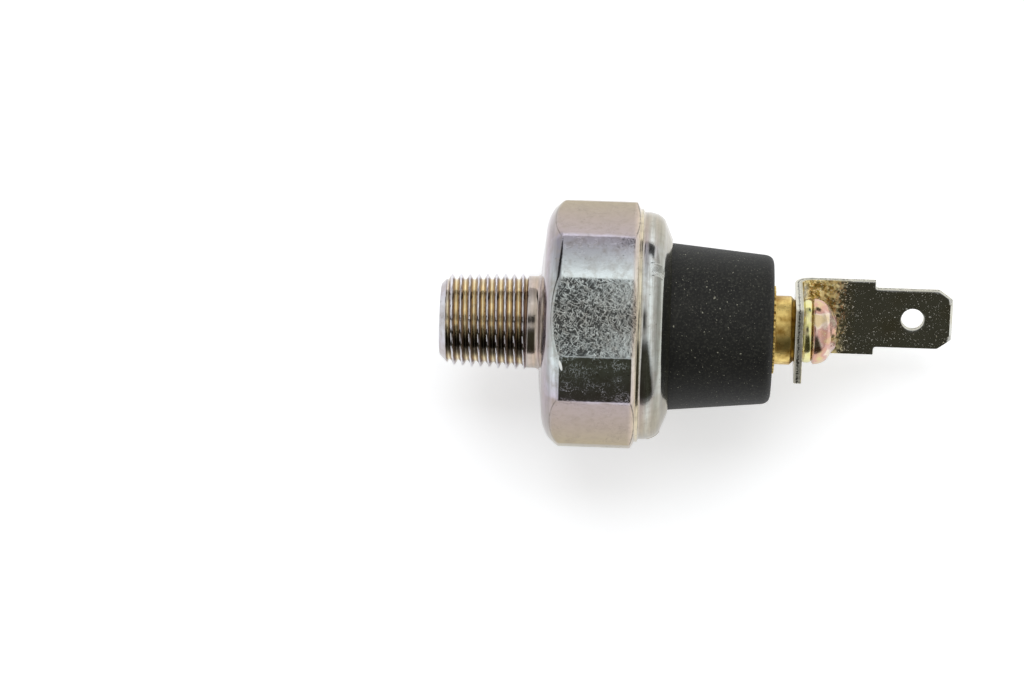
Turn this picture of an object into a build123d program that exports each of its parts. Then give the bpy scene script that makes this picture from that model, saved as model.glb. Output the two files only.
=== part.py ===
from build123d import *
from math import cos, radians, sin, tan
import os

# Oil pressure sender, in millimetres, lying on one flat of its hexagon.
# X runs along the axis from the thread to the push-on blade, Z is up.
# The origin is on the axis, at the gauge plane of the taper thread.
# Turned outlines are drawn as (x, radius) and revolved about X.

# Stem with its taper thread, drawn at the thread's pitch line
GAUGE_LENGTH = 4.0
STEM_LENGTH = 10.3
THREAD_CREST_DIAMETER = 9.6
THREAD_DEPTH = 0.58
THREAD_TAPER = 1 / 16
STEM_NOSE_CHAMFER = 0.76
STEM_NECK_DIAMETER = 9.45
STEM_NECK_LENGTH = 1.5
STEM_ROOT_RADIUS = 0.6
RUN_OUT_LENGTH = 0.2

# Hexagon with its corners turned round, above a narrow turned land at the rear
HEX_ACROSS_FLATS = 24.0
HEX_LENGTH = 10.2
CORNER_RISE = 0.65
FRONT_FLAT_WIDTH = 1.1
FRONT_CONE_ANGLE = 5.8
FRONT_ROUND_RADIUS = 3.9
FRONT_ROUND_END_ANGLE = 56.0
REAR_CHAMFER_ANGLE = 30.0
REAR_LAND_LENGTH = 0.3
REAR_LAND_DROP = 0.05

# Thin collar and its lip, rolled over the cap and staked
COLLAR_STEP = 0.35
COLLAR_ROOT_RADIUS = 0.25
COLLAR_LENGTH = 1.05
LIP_WALL = 0.9
LIP_INNER_BEND = 0.4
LIP_SLOPE = 22.0
LIP_REACH = 2.8
LIP_EDGE_ROUND = 0.25
STAKE_COUNT = 3
STAKE_ANGLE = 26.0
STAKE_WIDTH = 1.1
STAKE_LENGTH = 1.5
STAKE_DEPTH = 0.3

# Oil way, chamber and ring groove inside the body
PORT_BORE_DIAMETER = 3.6
ORIFICE_LENGTH = 2.6
PORT_MOUTH_CHAMFER = 0.3
ORIFICE_DIAMETER = 1.2
SEAT_DEPTH_IN_HEX = 4.2
CHAMBER_DEPTH = 0.9
CHAMBER_LAND = 1.4
GROOVE_MARGIN = 1.3
GROOVE_WIDTH = 1.9
GROOVE_DEPTH = 1.1
CUP_STEP_WIDTH = 0.65

# Fits between neighbours
CUP_CLEARANCE = 0.1
SEAT_GAP = 0.03
STEP_CLEARANCE = 0.15
RING_SIDE_GAP = 0.1
THREAD_GAP = 0.03
PRESS_GAP = 0.01
CUT_MARGIN = 1.0

# Diaphragm, contact plate and packing ring
DIAPHRAGM_THICKNESS = 0.2
CONTACT_PLATE_STOCK = 0.8
CONTACT_PLATE_BEND_RADIUS = 0.3
HAT_MARGIN = 0.3
HAT_HOLE_CLEARANCE = 0.4
PACKING_RING_THICKNESS = 0.4

# Moving group: pressure plate, push pin and moving contact
CONTACT_TRAVEL = 0.5
TRAVEL_MARGIN = 0.1
PRESSURE_PLATE_THICKNESS = 0.8
PRESSURE_PLATE_MARGIN = 0.5
PUSH_PIN_DIAMETER = 2.4
PIN_SHOULDER = 0.4
PIN_SPIGOT_LENGTH = 0.6
MOVING_CONTACT_STOCK = 0.6
MOVING_CONTACT_MARGIN = 1.6
CONTACT_RING_HEIGHT = 0.3
CONTACT_RING_WIDTH = 0.7
BOSS_HEIGHT = 0.8

# Contact spring and its seat
SPRING_MEAN_DIAMETER = 4.1
SPRING_WIRE = 0.5
SPRING_TURNS = 6.5
SPRING_BOSS_CLEARANCE = 0.3
SPRING_SEAT_THICKNESS = 0.5
SPRING_SEAT_MARGIN = 0.35

# Setting screw under the terminal screw
SETTING_SCREW_GAP = 1.1
SETTING_SCREW_REACH = 0.6
SETTING_SLOT_WIDTH = 0.7
SETTING_SLOT_DEPTH = 0.9
LOCKING_DROP_HEIGHT = 0.5

# Moulded cap
CAP_DRAFT = 5.4
CAP_HEIGHT_OVER_COLLAR = 12.4
CAP_FLANGE_LENGTH = 2.8
CAP_TOP_ROUND = 0.7
LIP_GAP = 0.22
CAVITY_CLEARANCE = 0.1
CAVITY_HEADROOM = 2.0
SPRING_WELL_CLEARANCE = 0.4
SEAL_SECTION = 1.0

# Brass insert with its serrated flange
INSERT_NECK_DIAMETER = 7.04
INSERT_NECK_LENGTH = 1.98
INSERT_NECK_CHAMFER = 0.4
INSERT_BURIED_LENGTH = 8.2
INSERT_FLANGE_STEP = 0.98
INSERT_FLANGE_THICKNESS = 1.5
INSERT_FLANGE_PROUD = 0.26
INSERT_TOOTH_RADIUS = 0.3
INSERT_TOOTH_COUNT = 30
INSERT_WAIST_DEPTH = 0.5
INSERT_WAIST_LENGTH = 2.0

# Terminal screw and split washer
SCREW_DIAMETER = 4.0
SCREW_THREAD_INSET = 0.25
SCREW_LENGTH = 6.0
SCREW_HEAD_DIAMETER = 6.8
SCREW_HEAD_HEIGHT = 2.6
SCREW_HEAD_CROWN = 1.0
SCREW_HEAD_ROUND = 1.5
RECESS_SPAN = 4.4
RECESS_WIDTH = 0.95
RECESS_DEPTH = 1.7
RECESS_TAPER = 9.0
RECESS_TURN = 59.0
WASHER_THICKNESS = 1.05
WASHER_INSET = 0.15
WASHER_HOLE_CLEARANCE = 0.1
WASHER_SPLIT = 0.45
WASHER_SPLIT_LEAN = 22.0
WASHER_SPLIT_ANGLE = 182.0

# Push-on terminal, folded from strip
TERMINAL_STOCK = 0.8
PLATE_FREE_EDGE = 5.0
PLATE_CORNER_RADIUS = 0.2
PLATE_HOLE_CLEARANCE = 0.15
BEND_RADIUS = 1.0
BEND_GAP = 0.25
SHOULDER_FROM_PLATE = 8.4
BLADE_WIDTH = 6.3
SHOULDER_WIDTH = 0.85
BLADE_LENGTH = 8.0
BLADE_TIP_LENGTH = 1.45
BLADE_TIP_INSET = 1.05
BLADE_TIP_BEVEL = 0.25
SHOULDER_ROUND = 0.3
TAB_HOLE_DIAMETER = 2.3
TAB_HOLE_FROM_TIP = 4.1
BEND_SLOT_WIDTH = 2.1
BEND_SLOT_LENGTH = 1.0
BEND_SLOT_OFFSET = 0.2
BLADE_ANGLE = 157.4

# Places along the axis, from the stem's nose to the screw head
X_NOSE = -GAUGE_LENGTH
X_HEX_FRONT = X_NOSE + STEM_LENGTH
X_HEX_REAR = X_HEX_FRONT + HEX_LENGTH
X_LIP_BEND = X_HEX_REAR + COLLAR_LENGTH
X_SEAT = X_HEX_FRONT + SEAT_DEPTH_IN_HEX
X_CHAMBER = X_SEAT - CHAMBER_DEPTH
X_PORT_END = X_CHAMBER - ORIFICE_LENGTH
X_PLATE_RIM = X_SEAT + DIAPHRAGM_THICKNESS
X_PACKING = X_PLATE_RIM + CONTACT_PLATE_STOCK
X_SKIRT = X_PACKING + PACKING_RING_THICKNESS
X_HAT_UNDER = X_PLATE_RIM + PRESSURE_PLATE_THICKNESS + CONTACT_TRAVEL + TRAVEL_MARGIN
X_HAT_TOP = X_HAT_UNDER + CONTACT_PLATE_STOCK
X_CONTACT_UNDER = X_HAT_TOP + CONTACT_RING_HEIGHT
X_CONTACT_TOP = X_CONTACT_UNDER + MOVING_CONTACT_STOCK
X_CAP_FLANGE = X_LIP_BEND - CAP_FLANGE_LENGTH
X_CUP_STEP = X_CAP_FLANGE - STEP_CLEARANCE
X_SEAL = (X_CAP_FLANGE + X_LIP_BEND - SEAL_SECTION) / 2
X_CAP_TOP = X_LIP_BEND + CAP_HEIGHT_OVER_COLLAR
X_FLANGE_TOP = X_CAP_TOP + INSERT_FLANGE_PROUD
X_INSERT_BOTTOM = X_FLANGE_TOP - INSERT_BURIED_LENGTH
X_INSERT_TOP = X_FLANGE_TOP + INSERT_NECK_LENGTH
X_SCREW_TIP = X_INSERT_BOTTOM - SETTING_SCREW_REACH
X_SPRING_TOP = X_SCREW_TIP - SPRING_SEAT_THICKNESS
X_PLATE_FRONT = X_INSERT_TOP + TERMINAL_STOCK
X_HEAD = X_PLATE_FRONT + WASHER_THICKNESS
X_DROP_TOP = X_HEAD - SCREW_LENGTH - SETTING_SCREW_GAP
X_SETTING_TOP = X_DROP_TOP - LOCKING_DROP_HEIGHT
X_BLADE_SHOULDER = X_INSERT_TOP + SHOULDER_FROM_PLATE
X_BLADE_TIP = X_BLADE_SHOULDER + BLADE_LENGTH

# Radii that follow from one another, from the hexagon inwards
HEX_RADIUS = HEX_ACROSS_FLATS / 2
CORNER_RADIUS = HEX_RADIUS + CORNER_RISE
REAR_LAND_RADIUS = HEX_RADIUS - REAR_LAND_DROP
COLLAR_RADIUS = HEX_RADIUS - COLLAR_STEP
UPPER_BORE_RADIUS = COLLAR_RADIUS - LIP_WALL
CUP_RADIUS = UPPER_BORE_RADIUS - CUP_STEP_WIDTH
GROOVE_OUTER_RADIUS = CUP_RADIUS - GROOVE_MARGIN
GROOVE_INNER_RADIUS = GROOVE_OUTER_RADIUS - GROOVE_WIDTH
CHAMBER_RADIUS = GROOVE_INNER_RADIUS - CHAMBER_LAND
LIP_OUTER_BEND = LIP_INNER_BEND + LIP_WALL
LIP_EDGE_RADIUS = COLLAR_RADIUS - LIP_REACH
TOWER_BASE_RADIUS = LIP_EDGE_RADIUS - LIP_GAP
INNER_DISC_RADIUS = CUP_RADIUS - CUP_CLEARANCE
CAP_FLANGE_RADIUS = UPPER_BORE_RADIUS - CUP_CLEARANCE
HAT_OUTER_RADIUS = GROOVE_INNER_RADIUS - HAT_MARGIN
CAVITY_RADIUS = HAT_OUTER_RADIUS + CONTACT_PLATE_BEND_RADIUS + CAVITY_CLEARANCE
MOVING_CONTACT_RADIUS = HAT_OUTER_RADIUS - MOVING_CONTACT_MARGIN
SPRING_OUTER_RADIUS = (SPRING_MEAN_DIAMETER + SPRING_WIRE) / 2
SPRING_BOSS_RADIUS = (SPRING_MEAN_DIAMETER - SPRING_WIRE) / 2 - SPRING_BOSS_CLEARANCE
SPRING_SEAT_RADIUS = SPRING_OUTER_RADIUS + SPRING_SEAT_MARGIN
SPRING_WELL_RADIUS = SPRING_SEAT_RADIUS + SPRING_WELL_CLEARANCE
SCREW_RADIUS = SCREW_DIAMETER / 2 - SCREW_THREAD_INSET
INSERT_BORE_RADIUS = SCREW_RADIUS + THREAD_GAP
INSERT_RADIUS = INSERT_NECK_DIAMETER / 2
INSERT_FLANGE_RADIUS = INSERT_RADIUS + INSERT_FLANGE_STEP
SCREW_HEAD_RADIUS = SCREW_HEAD_DIAMETER / 2
WASHER_RADIUS = SCREW_HEAD_RADIUS - WASHER_INSET
BLADE_INSIDE = WASHER_RADIUS + BEND_RADIUS + BEND_GAP
BLADE_OFFSET = BLADE_INSIDE + TERMINAL_STOCK / 2
STRIP_WIDTH = BLADE_WIDTH + 2 * SHOULDER_WIDTH


def turned(*outline):
    """A closed outline of lines and arcs, turned about X."""
    return revolve(make_face(Curve() + list(outline)), Axis.X)


def ring(start, end, outer, inner=0.0):
    """A plain ring or disc between two planes across X."""
    return turned(Polyline((start, inner), (end, inner), (end, outer), (start, outer), close=True))


def across(x):
    """The plane across the axis at x, with local axes along Y and Z."""
    return Plane(origin=(x, 0, 0), x_dir=(0, 1, 0), z_dir=(1, 0, 0))


def clocked(shape, angle):
    """A shape made upright, turned about X so that up goes towards +Y."""
    return Rot(-angle, 0, 0) * shape


def thread_pitch_radius(x):
    """Radius of the taper thread's pitch line at x."""
    return (THREAD_CREST_DIAMETER - THREAD_DEPTH + x * THREAD_TAPER) / 2


def stem_solid():
    """Nose chamfer, tapered thread, run-out, neck and the radius into the hexagon."""
    neck = STEM_NECK_DIAMETER / 2
    neck_start = X_HEX_FRONT - STEM_NECK_LENGTH
    thread_start = X_NOSE + STEM_NOSE_CHAMFER
    thread_end = neck_start - RUN_OUT_LENGTH
    root_start = X_HEX_FRONT - STEM_ROOT_RADIUS
    root_centre = (root_start, neck + STEM_ROOT_RADIUS)
    mid = STEM_ROOT_RADIUS * sin(radians(45))
    return turned(
        Polyline(
            (X_HEX_FRONT, neck + STEM_ROOT_RADIUS),
            (X_HEX_FRONT + CUT_MARGIN, neck + STEM_ROOT_RADIUS),
            (X_HEX_FRONT + CUT_MARGIN, 0),
            (X_NOSE, 0),
            (X_NOSE, thread_pitch_radius(thread_start) - STEM_NOSE_CHAMFER),
            (thread_start, thread_pitch_radius(thread_start)),
            (thread_end, thread_pitch_radius(thread_end)),
            (neck_start, neck),
            (root_start, neck),
        ),
        ThreePointArc(
            (root_start, neck),
            (root_centre[0] + mid, root_centre[1] - mid),
            (X_HEX_FRONT, neck + STEM_ROOT_RADIUS),
        ),
    )


def hexagon_solid():
    """The hexagon inside the turned shape of its front, corners, rear chamfer and land."""
    prism = extrude(across(X_HEX_FRONT) * RegularPolygon(HEX_RADIUS, 6, major_radius=False), HEX_LENGTH)
    first = radians(FRONT_CONE_ANGLE)
    last = radians(FRONT_ROUND_END_ANGLE)
    middle = (first + last) / 2
    round_start = CORNER_RADIUS - FRONT_ROUND_RADIUS * (sin(last) - sin(first))
    cone_start = STEM_NECK_DIAMETER / 2 + STEM_ROOT_RADIUS + FRONT_FLAT_WIDTH
    cone_rise = (round_start - cone_start) * tan(first)

    def on_round(angle):
        along = FRONT_ROUND_RADIUS * (cos(first) - cos(angle))
        outward = FRONT_ROUND_RADIUS * (sin(angle) - sin(first))
        return X_HEX_FRONT + cone_rise + along, round_start + outward

    round_end = on_round(last)
    land_start = X_HEX_REAR - REAR_LAND_LENGTH
    chamfer_depth = (CORNER_RADIUS - REAR_LAND_RADIUS) * tan(radians(REAR_CHAMFER_ANGLE))
    envelope = turned(
        Polyline((X_HEX_FRONT, 0), (X_HEX_FRONT, cone_start), on_round(first)),
        ThreePointArc(on_round(first), on_round(middle), round_end),
        Polyline(
            round_end,
            (land_start - chamfer_depth, CORNER_RADIUS),
            (land_start, REAR_LAND_RADIUS),
            (X_HEX_REAR, REAR_LAND_RADIUS),
            (X_HEX_REAR, 0),
            (X_HEX_FRONT, 0),
        ),
    )
    return prism & envelope


def lip_point(radius_of_bend, radius=None):
    """A point on the lip: the end of its bend, or where its slope reaches a radius."""
    slope = radians(LIP_SLOPE)
    centre_radius = COLLAR_RADIUS - LIP_OUTER_BEND
    x = X_LIP_BEND + radius_of_bend * cos(slope)
    r = centre_radius + radius_of_bend * sin(slope)
    if radius is None:
        return x, r
    return x + (r - radius) * tan(slope), radius


def lip_mid_bend(radius_of_bend):
    """The middle point of the lip's bend."""
    turn = radians((90 + LIP_SLOPE) / 2)
    centre_radius = COLLAR_RADIUS - LIP_OUTER_BEND
    return X_LIP_BEND + radius_of_bend * cos(turn), centre_radius + radius_of_bend * sin(turn)


def collar_solid():
    """The thin collar and its rolled lip, one closed outline turned about X."""
    outer = LIP_OUTER_BEND
    inner = LIP_INNER_BEND
    root = X_HEX_REAR - CUT_MARGIN
    outline = Curve() + [
        Line((root, COLLAR_RADIUS), (X_LIP_BEND, COLLAR_RADIUS)),
        ThreePointArc((X_LIP_BEND, COLLAR_RADIUS), lip_mid_bend(outer), lip_point(outer)),
        Polyline(
            lip_point(outer),
            lip_point(outer, LIP_EDGE_RADIUS),
            lip_point(inner, LIP_EDGE_RADIUS),
            lip_point(inner),
        ),
        ThreePointArc(lip_point(inner), lip_mid_bend(inner), (X_LIP_BEND, UPPER_BORE_RADIUS)),
        Polyline((X_LIP_BEND, UPPER_BORE_RADIUS), (root, UPPER_BORE_RADIUS), (root, COLLAR_RADIUS)),
    ]
    face = make_face(outline)
    edge_corners = face.vertices().filter_by(lambda v: abs(v.Y - LIP_EDGE_RADIUS) < 1e-4)
    collar = revolve(fillet(edge_corners, LIP_EDGE_ROUND), Axis.X)
    corner = COLLAR_ROOT_RADIUS
    bow = corner * (1 - sin(radians(45)))
    root_round = turned(
        Polyline(
            (X_HEX_REAR, COLLAR_RADIUS + corner),
            (X_HEX_REAR, COLLAR_RADIUS - LIP_WALL / 2),
            (X_HEX_REAR + corner, COLLAR_RADIUS - LIP_WALL / 2),
            (X_HEX_REAR + corner, COLLAR_RADIUS),
        ),
        ThreePointArc(
            (X_HEX_REAR + corner, COLLAR_RADIUS),
            (X_HEX_REAR + bow, COLLAR_RADIUS + bow),
            (X_HEX_REAR, COLLAR_RADIUS + corner),
        ),
    )
    return collar + root_round


def body_hollow():
    """Everything bored out of the body: port, orifice, chamber, groove, cup and upper bore."""
    port = PORT_BORE_DIAMETER / 2
    mouth = PORT_MOUTH_CHAMFER
    oil_way = turned(
        Polyline(
            (X_NOSE, 0),
            (X_NOSE, port + mouth),
            (X_NOSE + mouth, port),
            (X_PORT_END, port),
            (X_PORT_END, ORIFICE_DIAMETER / 2),
            (X_CHAMBER, ORIFICE_DIAMETER / 2),
            (X_CHAMBER, CHAMBER_RADIUS),
            (X_SEAT, CHAMBER_RADIUS),
            (X_SEAT, CUP_RADIUS),
            (X_CUP_STEP, CUP_RADIUS),
            (X_CUP_STEP, UPPER_BORE_RADIUS),
            (X_HEX_REAR + COLLAR_LENGTH / 2, UPPER_BORE_RADIUS),
            (X_HEX_REAR + COLLAR_LENGTH / 2, 0),
            close=True,
        )
    )
    groove = ring(X_SEAT - GROOVE_DEPTH, X_SEAT, GROOVE_OUTER_RADIUS, GROOVE_INNER_RADIUS)
    return oil_way + groove


def stake_cut():
    """One square dent punched into the shoulder of the lip."""
    x, r = lip_mid_bend(LIP_OUTER_BEND)
    lean = (90 - LIP_SLOPE) / 2
    dent = Box(STAKE_LENGTH, STAKE_WIDTH, 2 * STAKE_DEPTH)
    return Pos(x, 0, r) * Rot(0, lean, 0) * dent


def hex_body():
    """The steel body in one piece, staked at even angles round its lip."""
    body = hexagon_solid() + stem_solid() + collar_solid() - body_hollow()
    for index in range(STAKE_COUNT):
        body -= clocked(stake_cut(), STAKE_ANGLE + index * 360 / STAKE_COUNT)
    return body


def diaphragm_seal():
    """Rubber ring squeezed flat between the groove's floor and the diaphragm."""
    outer = GROOVE_OUTER_RADIUS - RING_SIDE_GAP
    inner = GROOVE_INNER_RADIUS + RING_SIDE_GAP
    face = make_face(
        Polyline(
            (X_SEAT - GROOVE_DEPTH, inner),
            (X_SEAT, inner),
            (X_SEAT, outer),
            (X_SEAT - GROOVE_DEPTH, outer),
            close=True,
        )
    )
    return revolve(fillet(face.vertices(), GROOVE_DEPTH * 0.35), Axis.X)


def diaphragm():
    """Thin film disc across the whole cup."""
    return ring(X_SEAT, X_PLATE_RIM, INNER_DISC_RADIUS)


def contact_plate():
    """Pressed top-hat plate: a clamped rim and a raised middle with a hole for the pin."""
    stock = CONTACT_PLATE_STOCK
    hole = PUSH_PIN_DIAMETER / 2 + HAT_HOLE_CLEARANCE
    face = make_face(
        Polyline(
            (X_PLATE_RIM, INNER_DISC_RADIUS),
            (X_PACKING, INNER_DISC_RADIUS),
            (X_PACKING, HAT_OUTER_RADIUS),
            (X_HAT_TOP, HAT_OUTER_RADIUS),
            (X_HAT_TOP, hole),
            (X_HAT_UNDER, hole),
            (X_HAT_UNDER, HAT_OUTER_RADIUS - stock),
            (X_PLATE_RIM, HAT_OUTER_RADIUS - stock),
            close=True,
        )
    )
    bends = face.vertices().filter_by(lambda v: abs(v.Y - HAT_OUTER_RADIUS + stock / 2) < stock * 0.6)
    return revolve(fillet(bends, CONTACT_PLATE_BEND_RADIUS), Axis.X)


def packing_ring():
    """Fibre ring between the contact plate's rim and the cap's skirt."""
    return ring(X_PACKING, X_SKIRT, INNER_DISC_RADIUS, CAVITY_RADIUS)


def pressure_plate():
    """Stiff disc on the diaphragm, with a hole for the pin's spigot."""
    radius = CHAMBER_RADIUS - PRESSURE_PLATE_MARGIN
    hole = PUSH_PIN_DIAMETER / 2 - PIN_SHOULDER + PRESS_GAP
    return ring(X_PLATE_RIM, X_PLATE_RIM + PRESSURE_PLATE_THICKNESS, radius, hole)


def push_pin():
    """Insulating pin from the pressure plate to the moving contact."""
    shoulder = X_PLATE_RIM + PRESSURE_PLATE_THICKNESS
    shaft = ring(shoulder, X_CONTACT_UNDER, PUSH_PIN_DIAMETER / 2)
    spigot = ring(shoulder - PIN_SPIGOT_LENGTH, shoulder, PUSH_PIN_DIAMETER / 2 - PIN_SHOULDER)
    return shaft + spigot


def moving_contact():
    """Pressed disc with a contact ring below and a boss that centres the spring."""
    ring_outer = MOVING_CONTACT_RADIUS - CONTACT_RING_WIDTH / 2
    disc = ring(X_CONTACT_UNDER, X_CONTACT_TOP, MOVING_CONTACT_RADIUS)
    contact = ring(X_HAT_TOP, X_CONTACT_UNDER, ring_outer, ring_outer - CONTACT_RING_WIDTH)
    boss = ring(X_CONTACT_TOP, X_CONTACT_TOP + BOSS_HEIGHT, SPRING_BOSS_RADIUS)
    return disc + contact + boss


def contact_spring():
    """Coil spring with its end coils ground flat against both seats."""
    length = X_SPRING_TOP - X_CONTACT_TOP
    path = Helix(length / SPRING_TURNS, length, SPRING_MEAN_DIAMETER / 2)
    start = path @ 0
    profile = Plane(origin=start, z_dir=path % 0) * Circle(SPRING_WIRE / 2)
    coil = sweep(profile, path=path)
    laid = Pos(X_CONTACT_TOP, 0, 0) * Rot(0, 90, 0) * coil
    between_seats = ring(X_CONTACT_TOP, X_SPRING_TOP, SPRING_OUTER_RADIUS + CUT_MARGIN)
    return laid & between_seats


def spring_seat():
    """Small flanged cup between the spring and the setting screw."""
    flange = ring(X_SPRING_TOP, X_SCREW_TIP, SPRING_SEAT_RADIUS)
    boss = ring(X_SPRING_TOP - BOSS_HEIGHT, X_SPRING_TOP, SPRING_BOSS_RADIUS)
    return flange + boss


def setting_screw():
    """Slotted grub screw in the inner end of the insert's thread."""
    screw = ring(X_SCREW_TIP, X_SETTING_TOP, SCREW_RADIUS)
    slot = Box(2 * SETTING_SLOT_DEPTH, 2 * SCREW_DIAMETER, SETTING_SLOT_WIDTH)
    return screw - Pos(X_SETTING_TOP, 0, 0) * slot


def locking_drop():
    """Set drop of lacquer on the setting screw's end."""
    return ring(X_SETTING_TOP, X_DROP_TOP, SCREW_RADIUS)


def tooth_ring_sketch():
    """Round flange outline with a rounded tooth at every step."""
    root = INSERT_FLANGE_RADIUS - INSERT_TOOTH_RADIUS
    teeth = PolarLocations(root, INSERT_TOOTH_COUNT) * Circle(INSERT_TOOTH_RADIUS)
    return Circle(root) + teeth


def insert_envelope():
    """The brass insert's outside: serrated flange, neck, waist and buried sleeve."""
    waist_end = X_FLANGE_TOP - INSERT_FLANGE_THICKNESS - INSERT_WAIST_LENGTH / 2
    waist_start = waist_end - INSERT_WAIST_LENGTH
    chamfer_start = X_INSERT_TOP - INSERT_NECK_CHAMFER
    sleeve = turned(
        Polyline(
            (X_INSERT_BOTTOM, 0),
            (X_INSERT_BOTTOM, INSERT_RADIUS),
            (waist_start, INSERT_RADIUS),
            (waist_start, INSERT_RADIUS - INSERT_WAIST_DEPTH),
            (waist_end, INSERT_RADIUS - INSERT_WAIST_DEPTH),
            (waist_end, INSERT_RADIUS),
            (chamfer_start, INSERT_RADIUS),
            (X_INSERT_TOP, INSERT_RADIUS - INSERT_NECK_CHAMFER),
            (X_INSERT_TOP, 0),
            close=True,
        )
    )
    flange_start = X_FLANGE_TOP - INSERT_FLANGE_THICKNESS
    return sleeve + extrude(across(flange_start) * tooth_ring_sketch(), INSERT_FLANGE_THICKNESS)


def terminal_insert():
    """Brass insert with one thread right through, for both screws."""
    return insert_envelope() - ring(X_INSERT_BOTTOM, X_INSERT_TOP, INSERT_BORE_RADIUS)


def insulator():
    """Moulded cap: skirt, sealed flange, shoulder under the lip and a tower with draft."""
    bend_end = lip_point(LIP_INNER_BEND)
    shoulder_end = lip_point(LIP_INNER_BEND, TOWER_BASE_RADIUS)
    tower_top = TOWER_BASE_RADIUS - (X_CAP_TOP - shoulder_end[0]) * tan(radians(CAP_DRAFT))
    cavity_top = X_CONTACT_TOP + CONTACT_TRAVEL + CAVITY_HEADROOM
    seal_end = X_SEAL + SEAL_SECTION + RING_SIDE_GAP
    seal_floor = UPPER_BORE_RADIUS - SEAL_SECTION
    face = make_face(
        Polyline(
            (X_SKIRT, CAVITY_RADIUS),
            (X_SKIRT, INNER_DISC_RADIUS),
            (X_CAP_FLANGE, INNER_DISC_RADIUS),
            (X_CAP_FLANGE, CAP_FLANGE_RADIUS),
            (X_SEAL, CAP_FLANGE_RADIUS),
            (X_SEAL, seal_floor),
            (seal_end, seal_floor),
            (seal_end, CAP_FLANGE_RADIUS),
            (X_LIP_BEND - SEAT_GAP, CAP_FLANGE_RADIUS),
            (bend_end[0] - SEAT_GAP, bend_end[1]),
            (shoulder_end[0] - SEAT_GAP, shoulder_end[1]),
            (X_CAP_TOP, tower_top),
            (X_CAP_TOP, 0),
            (X_INSERT_BOTTOM, 0),
            (X_INSERT_BOTTOM, SPRING_WELL_RADIUS),
            (cavity_top, SPRING_WELL_RADIUS),
            (cavity_top, CAVITY_RADIUS),
            close=True,
        )
    )
    top_corner = face.vertices().filter_by(lambda v: abs(v.X - X_CAP_TOP) < 1e-4 and v.Y > 1)
    cap = revolve(fillet(top_corner, CAP_TOP_ROUND), Axis.X)
    return cap - insert_envelope()


def cap_seal():
    """Rubber ring squeezed between the cap's groove and the body's upper bore."""
    floor = UPPER_BORE_RADIUS - SEAL_SECTION
    face = make_face(
        Polyline(
            (X_SEAL, floor),
            (X_SEAL + SEAL_SECTION, floor),
            (X_SEAL + SEAL_SECTION, UPPER_BORE_RADIUS),
            (X_SEAL, UPPER_BORE_RADIUS),
            close=True,
        )
    )
    return revolve(fillet(face.vertices(), SEAL_SECTION * 0.3), Axis.X)


def terminal_blade():
    """Strip folded to an L: a base plate under the washer and a push-on blade."""
    stock = TERMINAL_STOCK
    inside = BLADE_INSIDE
    outside = inside + stock
    outer_bend = BEND_RADIUS + stock
    turn = sin(radians(45))
    back = X_INSERT_TOP
    front = X_PLATE_FRONT
    bend_x = front + BEND_RADIUS
    bend_z = inside - BEND_RADIUS
    section = make_face(
        Curve()
        + [
            Polyline((bend_x, outside), (X_BLADE_TIP, outside), (X_BLADE_TIP, inside), (bend_x, inside)),
            ThreePointArc(
                (bend_x, inside),
                (bend_x - BEND_RADIUS * turn, bend_z + BEND_RADIUS * turn),
                (front, bend_z),
            ),
            Polyline((front, bend_z), (front, -PLATE_FREE_EDGE), (back, -PLATE_FREE_EDGE), (back, bend_z)),
            ThreePointArc(
                (back, bend_z),
                (bend_x - outer_bend * turn, bend_z + outer_bend * turn),
                (bend_x, outside),
            ),
        ]
    )
    strip = extrude(Plane.XZ * section, STRIP_WIDTH / 2, both=True)
    half_strip = STRIP_WIDTH / 2
    half_blade = BLADE_WIDTH / 2
    plan = make_face(
        Polyline(
            (back - CUT_MARGIN, -half_strip),
            (X_BLADE_SHOULDER, -half_strip),
            (X_BLADE_SHOULDER, -half_blade),
            (X_BLADE_TIP - BLADE_TIP_LENGTH, -half_blade),
            (X_BLADE_TIP, BLADE_TIP_INSET - half_blade),
            (X_BLADE_TIP, half_blade - BLADE_TIP_INSET),
            (X_BLADE_TIP - BLADE_TIP_LENGTH, half_blade),
            (X_BLADE_SHOULDER, half_blade),
            (X_BLADE_SHOULDER, half_strip),
            (back - CUT_MARGIN, half_strip),
            close=True,
        )
    )
    inner_corners = plan.vertices().filter_by(
        lambda v: abs(v.X - X_BLADE_SHOULDER) < 1e-4 and abs(abs(v.Y) - half_blade) < 1e-4
    )
    plan = fillet(inner_corners, SHOULDER_ROUND)
    blade = strip & extrude(plan, 2 * outside, both=True)
    tip_edges = blade.edges().filter_by(Axis.Y).filter_by(lambda e: e.center().X > X_BLADE_TIP - 1e-4)
    blade = chamfer(tip_edges, BLADE_TIP_BEVEL)
    plate_corners = (
        blade.edges().filter_by(Axis.X).filter_by(lambda e: e.center().Z < 1e-4 - PLATE_FREE_EDGE)
    )
    blade = fillet(plate_corners, PLATE_CORNER_RADIUS)
    hole = Pos(X_BLADE_TIP - TAB_HOLE_FROM_TIP, 0, BLADE_OFFSET) * Cylinder(TAB_HOLE_DIAMETER / 2, 4 * stock)
    screw_hole = ring(back - CUT_MARGIN, front + CUT_MARGIN, SCREW_DIAMETER / 2 + PLATE_HOLE_CLEARANCE)
    slot_start = bend_z - BEND_SLOT_OFFSET
    slot_middle = Pos(back + stock / 2, 0, slot_start + BEND_SLOT_LENGTH / 2)
    slot = slot_middle * Box(4 * stock, BEND_SLOT_WIDTH, BEND_SLOT_LENGTH)
    return clocked(blade - hole - screw_hole - slot, BLADE_ANGLE)


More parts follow.
